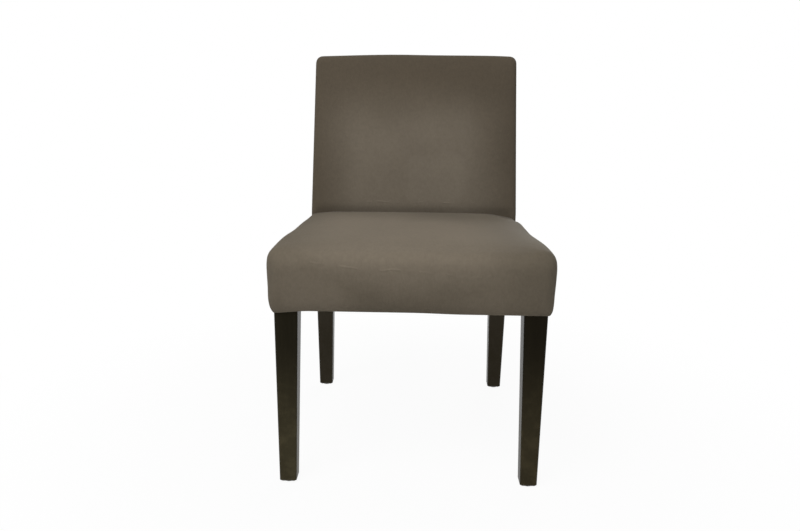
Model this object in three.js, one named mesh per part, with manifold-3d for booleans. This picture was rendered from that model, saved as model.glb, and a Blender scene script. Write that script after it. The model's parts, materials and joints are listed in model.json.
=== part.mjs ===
// Parsons chair: an armless upholstered dining chair on four tapered wooden legs.
// Lengths are in millimetres and +Z is up. The sitter faces -Y.
// Left and right are as seen from the front, so left is -X.
// The pieces are laid out from Y = 0 at the front faces of the front legs,
// and the whole chair is then centred on its origin.

import * as THREE from 'three';
import { mergeVertices } from 'three/addons/utils/BufferGeometryUtils.js';
import Module from 'manifold-3d';

const wasm = await Module();
wasm.setup();

// Fits
const fitGap = 0.3; // clearance between pieces that touch
const cutOverrun = 5; // how far a cutting body runs past what it cuts
const holeExtra = 1; // spare depth at the end of a mortise or a pilot hole

// Front legs, square and tapered on their inner faces
const legClearHeight = 352; // floor to the lower edge of the upholstery
const legTopSize = 44;
const legFootSize = 32.5;
const legFootDrift = 1.5; // how far the outer faces lean in towards the feet
const legEase = 2; // eased long edges
const footEase = 3; // eased edges under the feet

// Rear posts, each a rear leg and a back upright cut in one piece
const postKick = 39; // how far the rear feet stand behind the seat joint
const postKneeBlend = 110;
const postBendBlend = 40;
const postRake = THREE.MathUtils.degToRad(11.8);
const postRise = 385; // from the start of the rake to the top of the post
const postTopDepth = 26;
const postTopLean = 4.5; // how far the outer faces lean in at the top

// Seat frame
const frameWidthFront = 503; // over the outer faces of the front legs
const frameWidthRear = 469; // over the outer faces of the rear posts
const frameDepth = 440; // front faces of the front legs to front faces of the posts
const railHeight = 72;
const railThickness = 24;
const railSetback = 4; // rails lie this far inside the outer faces of the legs
const rearRailSetback = 11;
const tenonLength = 20;
const tenonThickness = 10;
const tenonShoulder = 9; // shoulder above and below a tenon

// Back frame
const backRailThickness = 18;
const backTopRailHeight = 58;
const backLowerRailHeight = 42;
const backLowerRailRise = 24; // above the start of the straight rake
const backTenonShoulder = 7;

// Corner blocks and their screws
const blockReach = 74; // along each rail, from the corner of the leg
const blockHeight = 50;
const blockDrop = 8; // below the top of the rails
const blockScrewGrip = 18; // wood under each screw head
const screwSpacing = 22; // height between the two screws of a block
const screwLength = 36;
const screwShankRadius = 2.2;
const screwHeadRadius = 4.4;
const screwHeadHeight = 2.6;
const screwPointLength = 7;

// Webbing
const webWidth = 50;
const webThickness = 1.6;
const webPlateauMargin = 2; // flat run beyond the strap that it crosses
const seatWebCount = 4;
const seatWebMargin = 15.5; // from the rear posts to the nearest front-to-back strap
const seatCrossWebMargin = 48.5; // from the front and rear rails to the nearest side-to-side strap
const webEndInset = 5; // from a strap's end to the outer face of its rail
const backWebCount = 3;
const backWebMargin = 15.5; // from the back rails to the nearest side-to-side strap
const backUprightWebCount = 2;
const backUprightWebMargin = 80.5; // from the rear posts to the nearest upright strap

// Upholstery of the seat
const coverThickness = 2.5; // fabric with its wadding
const seatBulge = 16; // the cover stands this far ahead of the front legs
const seatBorderFront = 13; // the cover stands this far outside the front legs
const backBorder = 11; // the cover stands this far outside the rear posts
const seatDrawIn = 11; // how far the sides draw in at the lower edge
const seatWallHeight = 88; // lower edge to the widest line
const seatShoulderRise = 27; // from the widest line up to the top's edge
const seatFrontReach = 28; // how far the shoulder runs in from the front
const seatSideReach = 16; // how far it runs in from each side
const seatCornerRadius = 30;
const seatCrown = 12;
const seatCrownPower = 2.4; // flattens the crown from side to side
const seatCrownShare = 0.5; // of the seat's depth, from the front to the top of the crown
const seatRearDipShare = 0.85; // of the crown, lost again by the crease
const seatTuck = 12.5; // the crease lies this far ahead of the posts
const seatRun = 60; // how far the seat form is drawn past the crease before it is cut
const flangeWidth = 16; // fabric turned in under the rails
const legNotchGap = 0.5; // between the fabric and the leg that it is cut around
const skirtLift = 14; // the foam stops this far above the lower edge

// Upholstery of the back
const backPad = 16; // the cover stands this far ahead of the posts
const backCrown = 9;
const backTopPad = 14; // above the posts
const backTopCrown = 4;
const backTopCrownPower = 4; // keeps the lift of the top crown near the top
const backTopLean = 7; // the sides lean in by this much towards the top
const backFrontRadius = 15;
const backRearRadius = 4;
const backTopRadius = 13;
const leastRadius = 1; // inside any rounded corner of the covers
const backTuckDrop = 24; // the front of the back cover ends this far below the crease
const returnWidth = 16; // fabric turned in behind the posts
const panelThickness = 2.5;
const panelInset = 5; // the outside back panel stops this far inside the sides

// Dust cover and glides
const dustCoverThickness = 0.8;
const dustCoverInset = 9;
const dustCoverLegGap = 2;
const glideHeight = 2;
const glideRadius = 12.5;
const glideFlatRadius = 11;
const glidePinRadius = 1.2;
const glidePinLength = 12;
const glidePinPoint = 3;

// Counts of facets
const ringCornerSteps = 5;
const rearCornerSteps = 2;
const crownSteps = 8;
const sideSteps = 6;
const kneeSteps = 4;
const bendSteps = 3;
const roundSides = 12;

// Worked-out heights
const legBottomZ = glideHeight + fitGap;
const railBottomZ = legClearHeight + coverThickness + fitGap;
const railTopZ = railBottomZ + railHeight;
const kneeZ = railBottomZ;
const bendZ = railTopZ + fitGap;
const rakeOriginZ = bendZ + postBendBlend / 2;
const postTopZ = bendZ + postRise;
const webLift = webThickness + fitGap;
const webStack = fitGap + webThickness + webLift;
const webTopZ = railTopZ + webStack;
const seatWidestZ = legClearHeight + seatWallHeight;
const seatEdgeZ = seatWidestZ + seatShoulderRise;
const rakeSlope = Math.tan(postRake);
const creaseY = frameDepth - seatTuck;
const creaseZ = rakeOriginZ + (backPad - seatTuck) / rakeSlope;
const coverTopZ = postTopZ + backTopPad;
const topEdgeRadius = Math.min(backTopRadius, backTopPad);
const panelTopZ = coverTopZ - topEdgeRadius;

// Worked-out places across and along the chair
const frontLegOuterX = frameWidthFront / 2;
const frontLegInnerX = frontLegOuterX - legTopSize;
const postOuterX = frameWidthRear / 2;
const postInnerX = postOuterX - legTopSize;
const rearRailY = frameDepth + rearRailSetback;
const seatFrontHalf = frontLegOuterX + seatBorderFront;
const creaseHalf = postOuterX + backBorder;
const panelY = fitGap + coverThickness + fitGap;

// Materials
const lacquer = { color: 0x2a2318, roughness: 0.32, metalness: 0 };
const bareWood = { color: 0xb08d5e, roughness: 0.8, metalness: 0 };
const suede = { color: 0x6e6557, roughness: 0.92, metalness: 0 };
const foam = { color: 0xd9cf9f, roughness: 0.95, metalness: 0 };
const jute = { color: 0x9c7d4e, roughness: 0.95, metalness: 0 };
const lining = { color: 0x191919, roughness: 0.95, metalness: 0 };
const zinc = { color: 0xa9a9a3, roughness: 0.4, metalness: 0.9 };
const nylon = { color: 0x1d1a17, roughness: 0.5, metalness: 0 };

// Small helpers

function mix(a, b, t) {
  return a + (b - a) * t;
}

function clamp01(t) {
  return Math.min(1, Math.max(0, t));
}

// A straight slope that starts from rest over a blend length
function easedRun(distance, blend) {
  if (distance <= 0) return 0;
  if (distance < blend) return (distance * distance) / (2 * blend);
  return distance - blend / 2;
}

function linear(count) {
  return Array.from({ length: count + 1 }, (unused, i) => i / count);
}

// Turns every face outward, whichever way the points were listed
function outward(geometry) {
  const place = geometry.attributes.position;
  const index = geometry.index;
  const [a, b, c] = [new THREE.Vector3(), new THREE.Vector3(), new THREE.Vector3()];
  let volume = 0;
  for (let i = 0; i < index.count; i += 3) {
    a.fromBufferAttribute(place, index.getX(i));
    b.fromBufferAttribute(place, index.getX(i + 1));
    c.fromBufferAttribute(place, index.getX(i + 2));
    volume += a.dot(b.cross(c));
  }
  if (volume < 0) {
    for (let i = 0; i < index.count; i += 3) {
      const second = index.getX(i + 1);
      index.setX(i + 1, index.getX(i + 2));
      index.setX(i + 2, second);
    }
  }
  return geometry;
}

// A closed mesh whose faces share their corners
function welded(geometry) {
  const bare = geometry.clone();
  bare.deleteAttribute('normal');
  bare.deleteAttribute('uv');
  return outward(mergeVertices(bare));
}

function toSolid(geometry) {
  const mesh = welded(geometry);
  return new wasm.Manifold(new wasm.Mesh({
    numProp: 3,
    vertProperties: new Float32Array(mesh.attributes.position.array),
    triVerts: new Uint32Array(mesh.index.array),
  }));
}

function toGeometry(solid) {
  const mesh = solid.getMesh();
  const geometry = new THREE.BufferGeometry();
  const points = new Float32Array(mesh.vertProperties);
  geometry.setAttribute('position', new THREE.BufferAttribute(points, 3));
  geometry.setIndex(Array.from(mesh.triVerts));
  return geometry;
}

function cut(geometry, ...tools) {
  let solid = toSolid(geometry);
  for (const tool of tools) {
    solid = solid.subtract(toSolid(tool));
  }
  return toGeometry(solid);
}

function join(geometry, ...others) {
  let solid = toSolid(geometry);
  for (const other of others) {
    solid = solid.add(toSolid(other));
  }
  return toGeometry(solid);
}

function mirrored(geometry) {
  return welded(geometry.clone().scale(-1, 1, 1));
}

function box(x0, x1, y0, y1, z0, z1) {
  const block = new THREE.BoxGeometry(x1 - x0, y1 - y0, z1 - z0);
  return block.translate((x0 + x1) / 2, (y0 + y1) / 2, (z0 + z1) / 2);
}

// A flat outline in plan, raised from z0 to z1
function plate(points, z0, z1) {
  const outline = new THREE.Shape(points.map(([x, y]) => new THREE.Vector2(x, y)));
  const raised = new THREE.ExtrudeGeometry(outline, { depth: z1 - z0, bevelEnabled: false });
  return raised.translate(0, 0, z0);
}

// Skins a stack of closed rings that all have as many points, and caps both ends.
// A cap is a ladder across the ring, from its first point to its last, or a fan to one point.
function loft(rings, topPoint = null) {
  const sides = rings[0].length;
  const points = rings.flat();
  const faces = [];
  for (let level = 0; level + 1 < rings.length; level += 1) {
    for (let i = 0; i < sides; i += 1) {
      const low = level * sides + i;
      const lowNext = level * sides + (i + 1) % sides;
      faces.push(low, lowNext, lowNext + sides, low, lowNext + sides, low + sides);
    }
  }
  ladder(faces, 0, sides, true);
  const topStart = (rings.length - 1) * sides;
  if (topPoint) {
    points.push(topPoint);
    for (let i = 0; i < sides; i += 1) {
      faces.push(topStart + i, topStart + (i + 1) % sides, points.length - 1);
    }
  } else {
    ladder(faces, topStart, sides, false);
  }
  const geometry = new THREE.BufferGeometry();
  geometry.setFromPoints(points);
  geometry.setIndex(faces);
  return outward(geometry);
}

function ladder(faces, start, sides, flip) {
  for (let i = 0; i + 1 < sides / 2; i += 1) {
    const [a, b] = [start + i, start + i + 1];
    const [c, d] = [start + sides - 2 - i, start + sides - 1 - i];
    if (flip) {
      faces.push(a, c, b, a, d, c);
    } else {
      faces.push(a, b, c, a, c, d);
    }
  }
}

// A rectangle in plan with its corners eased, at one height
function easedRing({ x0, x1, y0, y1 }, z, ease) {
  const corners = [
    [x0 + ease, y0], [x1 - ease, y0], [x1, y0 + ease], [x1, y1 - ease],
    [x1 - ease, y1], [x0 + ease, y1], [x0, y1 - ease], [x0, y0 + ease],
  ];
  return corners.map(([x, y]) => new THREE.Vector3(x, y, z));
}

function shrunk({ x0, x1, y0, y1 }, inset) {
  return { x0: x0 + inset, x1: x1 - inset, y0: y0 + inset, y1: y1 - inset };
}

// A square-section piece of wood that follows a section along its height
function timber(section, heights, bottomEase, topEase) {
  const first = heights[0];
  const last = heights[heights.length - 1];
  const rings = [easedRing(shrunk(section(first), bottomEase), first, legEase)];
  for (const z of [first + bottomEase, ...heights.slice(1, -1), last - topEase]) {
    rings.push(easedRing(section(z), z, legEase));
  }
  rings.push(easedRing(shrunk(section(last), topEase), last, legEase));
  return loft(rings);
}

// Legs and posts

function frontLegSection(z) {
  const taper = clamp01((railBottomZ - z) / (railBottomZ - legBottomZ));
  const size = mix(legTopSize, legFootSize, taper);
  const outer = frontLegOuterX - legFootDrift * taper;
  return { x0: outer - size, x1: outer, y0: 0, y1: size };
}

function postFrontY(z) {
  const kickRun = easedRun(kneeZ - legBottomZ, postKneeBlend);
  const kick = (postKick * easedRun(kneeZ - z, postKneeBlend)) / kickRun;
  return frameDepth + kick + rakeSlope * easedRun(z - bendZ, postBendBlend);
}

function postDepth(z) {
  const below = clamp01((kneeZ - z) / (kneeZ - legBottomZ));
  const above = clamp01((z - bendZ) / postRise);
  return mix(mix(legTopSize, legFootSize, below), postTopDepth, above);
}

function postRearY(z) {
  return postFrontY(z) + postDepth(z);
}

function postSection(z) {
  const below = clamp01((kneeZ - z) / (kneeZ - legBottomZ));
  const above = clamp01((z - bendZ) / postRise);
  const outer = postOuterX - postTopLean * above;
  const inner = postInnerX + (legTopSize - legFootSize) * below;
  return { x0: inner, x1: outer, y0: postFrontY(z), y1: postRearY(z) };
}

function glidePinHole(x, y) {
  const depth = glidePinLength + holeExtra;
  const bore = glidePinRadius + fitGap;
  const hole = new THREE.CylinderGeometry(bore, bore, depth + cutOverrun, roundSides);
  hole.rotateX(Math.PI / 2);
  return hole.translate(x, y, legBottomZ + (depth - cutOverrun) / 2);
}

function footCentre(section) {
  const foot = section(legBottomZ);
  return [(foot.x0 + foot.x1) / 2, (foot.y0 + foot.y1) / 2];
}

function frontLeg() {
  const stock = timber(frontLegSection, [legBottomZ, railBottomZ, railTopZ], footEase, legEase);
  const pinHole = glidePinHole(...footCentre(frontLegSection));
  return cut(stock, frontTenonBar(fitGap), sideTenonBar(fitGap), pinHole);
}

function kneeHeights() {
  return linear(kneeSteps).map((t) => kneeZ - postKneeBlend * (1 - t));
}

function bendHeights() {
  return linear(bendSteps).map((t) => bendZ + postBendBlend * t);
}

function rearPost() {
  const heights = [legBottomZ, ...kneeHeights(), ...bendHeights(), postTopZ];
  return cut(
    timber(postSection, heights, footEase, legEase),
    sideTenonBar(fitGap),
    rearTenonBar(fitGap),
    onRake(backTenonBar(backTopRailZ, backTopRailHeight, fitGap)),
    onRake(backTenonBar(backLowerRailRise, backLowerRailHeight, fitGap)),
    glidePinHole(...footCentre(postSection)),
  );
}

// Seat rails. Each tenon bar runs right through its rail and out of both ends.
// The same bar, grown by the fit, cuts the mortises.

function tenonBar(reach, y, z0, z1, shoulder, grow) {
  const half = reach + (grow > 0 ? holeExtra : 0);
  const [y0, y1] = [y - grow, y + tenonThickness + grow];
  return box(-half, half, y0, y1, z0 + shoulder - grow, z1 - shoulder + grow);
}

function frontTenonBar(grow) {
  const y = railSetback + (railThickness - tenonThickness) / 2;
  return tenonBar(frontLegInnerX + tenonLength, y, railBottomZ, railTopZ, tenonShoulder, grow);
}

function rearTenonBar(grow) {
  const y = rearRailY + (railThickness - tenonThickness) / 2;
  return tenonBar(postInnerX + tenonLength, y, railBottomZ, railTopZ, tenonShoulder, grow);
}

function frameHalfAt(y) {
  return mix(frontLegOuterX, postOuterX, y / frameDepth);
}

function sideRailOuterX(y) {
  return frameHalfAt(y) - railSetback;
}

function sideRailInnerX(y) {
  return sideRailOuterX(y) - railThickness;
}

// A bar in plan that follows the splay of the side rail
function splayedBar(inset, width, y0, y1, z0, z1) {
  const outline = [
    [sideRailOuterX(y0) - inset - width, y0],
    [sideRailOuterX(y0) - inset, y0],
    [sideRailOuterX(y1) - inset, y1],
    [sideRailOuterX(y1) - inset - width, y1],
  ];
  return plate(outline, z0, z1);
}

function sideTenonBar(grow) {
  const inset = (railThickness - tenonThickness) / 2 - grow;
  const depth = tenonLength + (grow > 0 ? holeExtra : 0);
  const z0 = railBottomZ + tenonShoulder - grow;
  const z1 = railTopZ - tenonShoulder + grow;
  return splayedBar(inset, tenonThickness + 2 * grow, legTopSize - depth, frameDepth + depth, z0, z1);
}

function frontRail() {
  const reach = frontLegInnerX - fitGap;
  const body = box(-reach, reach, railSetback, railSetback + railThickness, railBottomZ, railTopZ);
  return cut(join(body, frontTenonBar(0)), ...railPilots(frontScrews()));
}

function rearRail() {
  const reach = postInnerX - fitGap;
  const body = box(-reach, reach, rearRailY, rearRailY + railThickness, railBottomZ, railTopZ);
  return cut(join(body, rearTenonBar(0)), ...railPilots(rearScrews()));
}

function sideRail() {
  const [y0, y1] = [legTopSize + fitGap, frameDepth - fitGap];
  const body = splayedBar(0, railThickness, y0, y1, railBottomZ, railTopZ);
  return cut(join(body, sideTenonBar(0)), ...sideScrews().map(screwHole));
}

// Back rails, drawn square and then leaned back with the posts

const backTopRailZ = (postTopZ - rakeOriginZ) / Math.cos(postRake) - backTopRailHeight;

function onRake(geometry) {
  return geometry.rotateX(-postRake).translate(0, frameDepth, rakeOriginZ);
}

function backTenonBar(z, height, grow) {
  const y = (backRailThickness - tenonThickness) / 2;
  return tenonBar(postInnerX + tenonLength, y, z, z + height, backTenonShoulder, grow);
}

function backRail(z, height) {
  const reach = postInnerX - fitGap;
  const body = box(-reach, reach, 0, backRailThickness, z, z + height);
  return join(body, backTenonBar(z, height, 0));
}

// Corner blocks and screws.
// A corner is described by the leg's inner corner, the rail's inner face and which way is inward.

const frontCorner = { legX: frontLegInnerX, legY: legTopSize, railY: railSetback + railThickness, inward: 1 };
const rearCorner = { legX: postInnerX, legY: frameDepth, railY: rearRailY, inward: -1 };

function cornerBlock({ legX, legY, railY, inward }) {
  const bevelGap = fitGap * Math.SQRT2;
  const facingRailY = railY + inward * fitGap;
  const besideX = (y) => sideRailInnerX(y) - fitGap;
  const farY = legY + inward * blockReach;
  const nearY = legY + inward * (besideX(legY) - legX + bevelGap);
  const nearX = legX - Math.abs(legY - facingRailY) - bevelGap;
  const outline = [
    [nearX, facingRailY],
    [legX - blockReach, facingRailY],
    [besideX(farY), farY],
    [besideX(nearY), nearY],
  ];
  const top = railTopZ - blockDrop;
  const holes = cornerScrews({ legX, legY, railY, inward }).map(screwHole);
  return cut(plate(outline, top - blockHeight, top), ...holes);
}

// Each screw has the place under its head and the way its point goes
function cornerScrews({ legX, legY, railY, inward }) {
  const middleZ = railTopZ - blockDrop - blockHeight / 2;
  const besideLegX = legX - blockReach / 2;
  const besideLegY = legY + (inward * blockReach) / 2;
  const railHeadY = railY + inward * (fitGap + blockScrewGrip);
  const sideHeadX = sideRailInnerX(besideLegY) - fitGap - blockScrewGrip;
  return [
    { at: [besideLegX, railHeadY, middleZ + screwSpacing / 2], way: [0, -inward, 0] },
    { at: [sideHeadX, besideLegY, middleZ - screwSpacing / 2], way: [1, 0, 0] },
  ];
}

function frontScrews() {
  return cornerScrews(frontCorner).slice(0, 1);
}

function rearScrews() {
  return cornerScrews(rearCorner).slice(0, 1);
}

function sideScrews() {
  return [...cornerScrews(frontCorner).slice(1), ...cornerScrews(rearCorner).slice(1)];
}

// Holes in a rail that both its corners use
function railPilots(screws) {
  const holes = screws.map(screwHole);
  return [...holes, ...holes.map(mirrored)];
}

function turnedTo(geometry, { at, way }) {
  const turn = new THREE.Quaternion();
  turn.setFromUnitVectors(new THREE.Vector3(0, 1, 0), new THREE.Vector3(...way));
  return geometry.applyQuaternion(turn).translate(...at);
}

function revolve(profile) {
  return new THREE.LatheGeometry(profile.map(([r, h]) => new THREE.Vector2(r, h)), roundSides);
}

function screwHole(place) {
  const bore = screwShankRadius + fitGap;
  const well = screwHeadRadius + 2 * fitGap;
  const profile = [
    [0, screwLength + holeExtra], [bore, screwLength + holeExtra], [bore, 0],
    [well, 0], [well, -blockReach], [0, -blockReach],
  ];
  return turnedTo(revolve(profile), place);
}

function screw(place) {
  const waist = screwLength - screwPointLength;
  const domeShares = [[1, 0.45], [0.6, 0.95], [0, 1]];
  const dome = domeShares.map(([across, up]) => [screwHeadRadius * across, -fitGap - screwHeadHeight * up]);
  const profile = [
    [0, screwLength], [screwShankRadius, waist], [screwShankRadius, -fitGap],
    [screwHeadRadius, -fitGap], ...dome,
  ];
  return turnedTo(revolve(profile), place);
}

// Webbing. A strap runs along X and rises over every other strap that it crosses.

function strap(length, crossings, firstOver) {
  const half = webWidth / 2 + webPlateauMargin;
  const line = [[-length / 2, 0]];
  let level = 0;
  let from = -length / 2 + webWidth / 2;
  const rampShares = [0, 0.3, 0.7, 1];
  const climbShares = [0, 0.2, 0.8, 1];
  const climb = (to, next) => {
    rampShares.forEach((share, i) => {
      line.push([mix(from, to, share), mix(level, next, climbShares[i])]);
    });
    level = next;
  };
  crossings.forEach((place, i) => {
    climb(place - half, (i % 2 === 0) === firstOver ? webLift : 0);
    from = place + half;
  });
  climb(length / 2 - webWidth / 2, 0);
  line.push([length / 2, 0]);
  const kept = line.filter(([, lift], i) => {
    const before = line[i - 1];
    const after = line[i + 1];
    return !before || !after || before[1] !== lift || after[1] !== lift;
  });
  const under = kept.map(([run, lift]) => new THREE.Vector2(run, lift + fitGap));
  const over = kept.map(([run, lift]) => new THREE.Vector2(run, lift + fitGap + webThickness)).reverse();
  const edge = new THREE.Shape([...under, ...over]);
  const woven = new THREE.ExtrudeGeometry(edge, { depth: webWidth, bevelEnabled: false });
  return woven.rotateX(Math.PI / 2).translate(0, webWidth / 2, 0);
}

// Middles of straps set evenly across a room, with a margin at both ends
function spread(count, room, margin) {
  const reach = room / 2 - margin - webWidth / 2;
  return linear(count - 1).map((t) => mix(-reach, reach, t));
}

// Form of the seat. The inset draws the form in from the outside of the cover.

function seatHalfAt(y) {
  return mix(seatFrontHalf, creaseHalf, (y + seatBulge) / (creaseY + seatBulge));
}

function seatOutline(sideInset, frontInset, radius) {
  const frontY = -seatBulge + frontInset;
  const rearY = creaseY + seatRun;
  const half = (y) => seatHalfAt(y) - sideInset;
  const points = [];
  for (const t of linear(crownSteps)) {
    points.push([mix(-half(frontY) + radius, half(frontY) - radius, t), frontY]);
  }
  const rounded = (x, y, from) => {
    for (const t of linear(ringCornerSteps).slice(1)) {
      const angle = from + (t * Math.PI) / 2;
      points.push([x + radius * Math.cos(angle), y + radius * Math.sin(angle)]);
    }
  };
  rounded(half(frontY) - radius, frontY + radius, -Math.PI / 2);
  for (const t of linear(sideSteps).slice(1)) {
    const y = mix(frontY + radius, rearY, t);
    points.push([half(y), y]);
  }
  const right = points.slice(crownSteps + 1);
  for (const t of linear(crownSteps).slice(1, -1)) {
    points.push([mix(half(rearY), -half(rearY), t), rearY]);
  }
  for (const [x, y] of right.reverse()) {
    points.push([-x, y]);
  }
  return points;
}

function seatTopZ(x, y) {
  const across = clamp01(Math.abs(x) / seatHalfAt(y));
  const along = clamp01((y + seatBulge) / (creaseY + seatBulge));
  const rise = Math.sin((Math.PI / 2) * clamp01(along / seatCrownShare));
  const dip = seatRearDipShare * clamp01((along - seatCrownShare) / (1 - seatCrownShare)) ** 2;
  return seatEdgeZ + seatCrown * (1 - across ** seatCrownPower) * (rise - dip);
}

function seatForm(inset, floorZ) {
  const drawInShares = [1, 0.5, 0.3, 0.12, 0];
  const wallShares = [0, 0.05, 0.2, 0.5, 1];
  const radiusShares = [0.4, 0.5, 0.65, 0.85, 1];
  const rings = [];
  const addRing = (side, front, radius, z) => {
    const outline = seatOutline(inset + side, inset + front, radius);
    rings.push(outline.map(([x, y]) => new THREE.Vector3(x, y, z)));
  };
  drawInShares.forEach((share, i) => {
    const radius = Math.max(seatCornerRadius * radiusShares[i] - inset, leastRadius);
    addRing(seatDrawIn * share, seatDrawIn * share, radius, mix(floorZ, seatWidestZ, wallShares[i]));
  });
  const rise = seatShoulderRise - inset;
  const sideReach = seatSideReach - inset;
  const frontReach = seatFrontReach - inset;
  for (const t of linear(ringCornerSteps).slice(1, -1)) {
    const angle = (t * Math.PI) / 2;
    const turn = 1 - Math.cos(angle);
    addRing(sideReach * turn, frontReach * turn, seatCornerRadius, seatWidestZ + rise * Math.sin(angle));
  }
  const edge = seatOutline(seatSideReach, seatFrontReach, seatCornerRadius);
  const centreY = (creaseY - seatBulge) / 2;
  const topShares = [1, 0.86, 0.66, 0.44, 0.22];
  for (const share of topShares) {
    rings.push(edge.map(([x, y]) => {
      const [px, py] = [x * share, mix(centreY, y, share)];
      return new THREE.Vector3(px, py, seatTopZ(px, py) - inset);
    }));
  }
  const form = loft(rings, new THREE.Vector3(0, centreY, seatTopZ(0, centreY) - inset));
  const wide = Math.max(seatFrontHalf, seatHalfAt(creaseY + seatRun)) + cutOverrun;
  const high = seatEdgeZ + seatCrown + cutOverrun;
  const farY = creaseY + seatRun + cutOverrun;
  return cut(form, box(-wide, wide, creaseY - inset, farY, floorZ - cutOverrun, high));
}

function legHole(section, z0, z1) {
  const grown = (z) => shrunk(section(z), -legNotchGap);
  return loft([easedRing(grown(z0), z0, legEase), easedRing(grown(z1), z1, legEase)]);
}

function bothSides(geometry) {
  return [geometry, mirrored(geometry)];
}

function seatCover() {
  const innerFloorZ = legClearHeight + coverThickness;
  const doorHalf = postOuterX + fitGap;
  const farY = creaseY + cutOverrun;
  const doorY = creaseY - coverThickness - cutOverrun;
  const door = box(-doorHalf, doorHalf, doorY, farY, innerFloorZ, webTopZ);
  const flangeX = (y) => frameHalfAt(y) - flangeWidth;
  const opening = plate([
    [-flangeX(flangeWidth), flangeWidth], [flangeX(flangeWidth), flangeWidth],
    [flangeX(farY), farY], [-flangeX(farY), farY],
  ], legClearHeight - cutOverrun, innerFloorZ + cutOverrun);
  const legHoles = bothSides(legHole(frontLegSection, legClearHeight - cutOverrun, railTopZ));
  const inside = seatForm(coverThickness, innerFloorZ);
  return cut(seatForm(0, legClearHeight), inside, door, opening, ...legHoles);
}

// Foam over the webbing, with a skirt that pads the outside of the rails
function seatFoam() {
  const form = seatForm(coverThickness + fitGap, legClearHeight + skirtLift);
  const rearY = creaseY + cutOverrun;
  const right = [
    [frontLegOuterX + fitGap, -fitGap],
    [frontLegOuterX + fitGap, legTopSize + fitGap],
    [frameHalfAt(rearY) + fitGap, rearY],
  ];
  const left = right.map(([x, y]) => [-x, y]).reverse();
  const core = plate([...right, ...left], legClearHeight - cutOverrun, webTopZ + fitGap);
  return cut(form, core);
}

// Form of the back, from its lower edge to its crowned top

function backFrontY(z) {
  return frameDepth - backPad + Math.max(rakeSlope * (z - rakeOriginZ), backPad - seatTuck);
}

function backRearY(z) {
  return postRearY(z) + fitGap + coverThickness;
}

function backRing(z, inset, topInset) {
  const up = clamp01((z - creaseZ) / (coverTopZ - creaseZ));
  const half = creaseHalf - backTopLean * up - inset - topInset;
  const crown = backCrown * Math.sin(Math.PI * up);
  const frontY = backFrontY(z) + inset + topInset;
  const rearY = backRearY(z) - inset - topInset;
  const frontRadius = Math.max(backFrontRadius - inset, leastRadius);
  const rearRadius = Math.max(backRearRadius - inset, leastRadius);
  const points = [];
  const push = (x, y) => {
    const lift = backTopCrown * up ** backTopCrownPower * (1 - (x / half) ** 2);
    points.push(new THREE.Vector3(x, y, z + lift));
  };
  const frontReach = half - frontRadius;
  const rearReach = half - rearRadius;
  for (const t of linear(crownSteps)) {
    const x = mix(0, frontReach, t);
    push(x, frontY - crown * (1 - (x / half) ** 2));
  }
  for (const t of linear(ringCornerSteps).slice(1)) {
    const angle = (t * Math.PI) / 2;
    const sink = crown * (1 - (frontReach / half) ** 2) * (1 - t);
    push(frontReach + frontRadius * Math.sin(angle), frontY - sink + frontRadius * (1 - Math.cos(angle)));
  }
  for (const t of linear(rearCornerSteps)) {
    const angle = (t * Math.PI) / 2;
    push(rearReach + rearRadius * Math.cos(angle), rearY - rearRadius * (1 - Math.sin(angle)));
  }
  for (const t of linear(crownSteps).slice(1)) {
    push(mix(rearReach, 0, t), rearY);
  }
  const left = points.slice(1, -1).reverse().map((point) => new THREE.Vector3(-point.x, point.y, point.z));
  return [...points, ...left];
}

function backForm(inset, floorZ) {
  const riseShares = [0.1, 0.3, 0.5, 0.7, 0.88];
  const rakeStartZ = Math.max(creaseZ, bendZ + postBendBlend);
  const roofZ = coverTopZ - inset;
  const shoulderZ = coverTopZ - topEdgeRadius;
  const lowHeights = [floorZ, ...bendHeights(), creaseZ].sort((a, b) => a - b);
  const rings = lowHeights.map((z) => backRing(z, inset, 0));
  for (const share of riseShares) {
    rings.push(backRing(mix(rakeStartZ, shoulderZ, share), inset, 0));
  }
  for (const t of linear(ringCornerSteps - 1)) {
    const angle = (t * Math.PI) / 2;
    const z = mix(shoulderZ, roofZ, Math.sin(angle));
    rings.push(backRing(z, inset, (topEdgeRadius - inset) * (1 - Math.cos(angle))));
  }
  return loft(rings.map(fromLeftSide));
}

// Starts a ring at its left side, so that the end caps run across its thickness
function fromLeftSide(ring) {
  const half = ring.length / 2;
  const start = ring.length - Math.round(half / 2);
  return [...ring.slice(start), ...ring.slice(0, start)];
}

// Opening behind the posts, inside the strip of fabric that is turned in there
function rearDoor() {
  const half = postOuterX - postTopLean - returnWidth;
  const heights = [legClearHeight + returnWidth, ...bendHeights(), postTopZ - returnWidth];
  return loft(heights.map((z) => {
    const y0 = postFrontY(z) + postDepth(z) / 2;
    return easedRing({ x0: -half, x1: half, y0, y1: backRearY(z) + cutOverrun }, z, legEase);
  }));
}

// Opening in front of the posts, below the fabric that is tucked in behind the seat
function tuckDoor(floorZ) {
  const half = postOuterX + fitGap;
  return box(-half, half, creaseY - cutOverrun, frameDepth, floorZ, creaseZ - backTuckDrop);
}

function backCover() {
  const innerFloorZ = legClearHeight + coverThickness;
  const underZ = legClearHeight - cutOverrun;
  const half = postOuterX + fitGap;
  const flangeY = frameDepth + legTopSize - flangeWidth;
  const opening = box(-half, half, creaseY - cutOverrun, flangeY, underZ, innerFloorZ + cutOverrun);
  const legHoles = bothSides(legHole(postSection, underZ, railBottomZ + cutOverrun));
  const inside = backForm(coverThickness, innerFloorZ);
  const doors = [tuckDoor(innerFloorZ), rearDoor()];
  return cut(backForm(0, legClearHeight), inside, ...doors, opening, ...legHoles);
}

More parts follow.
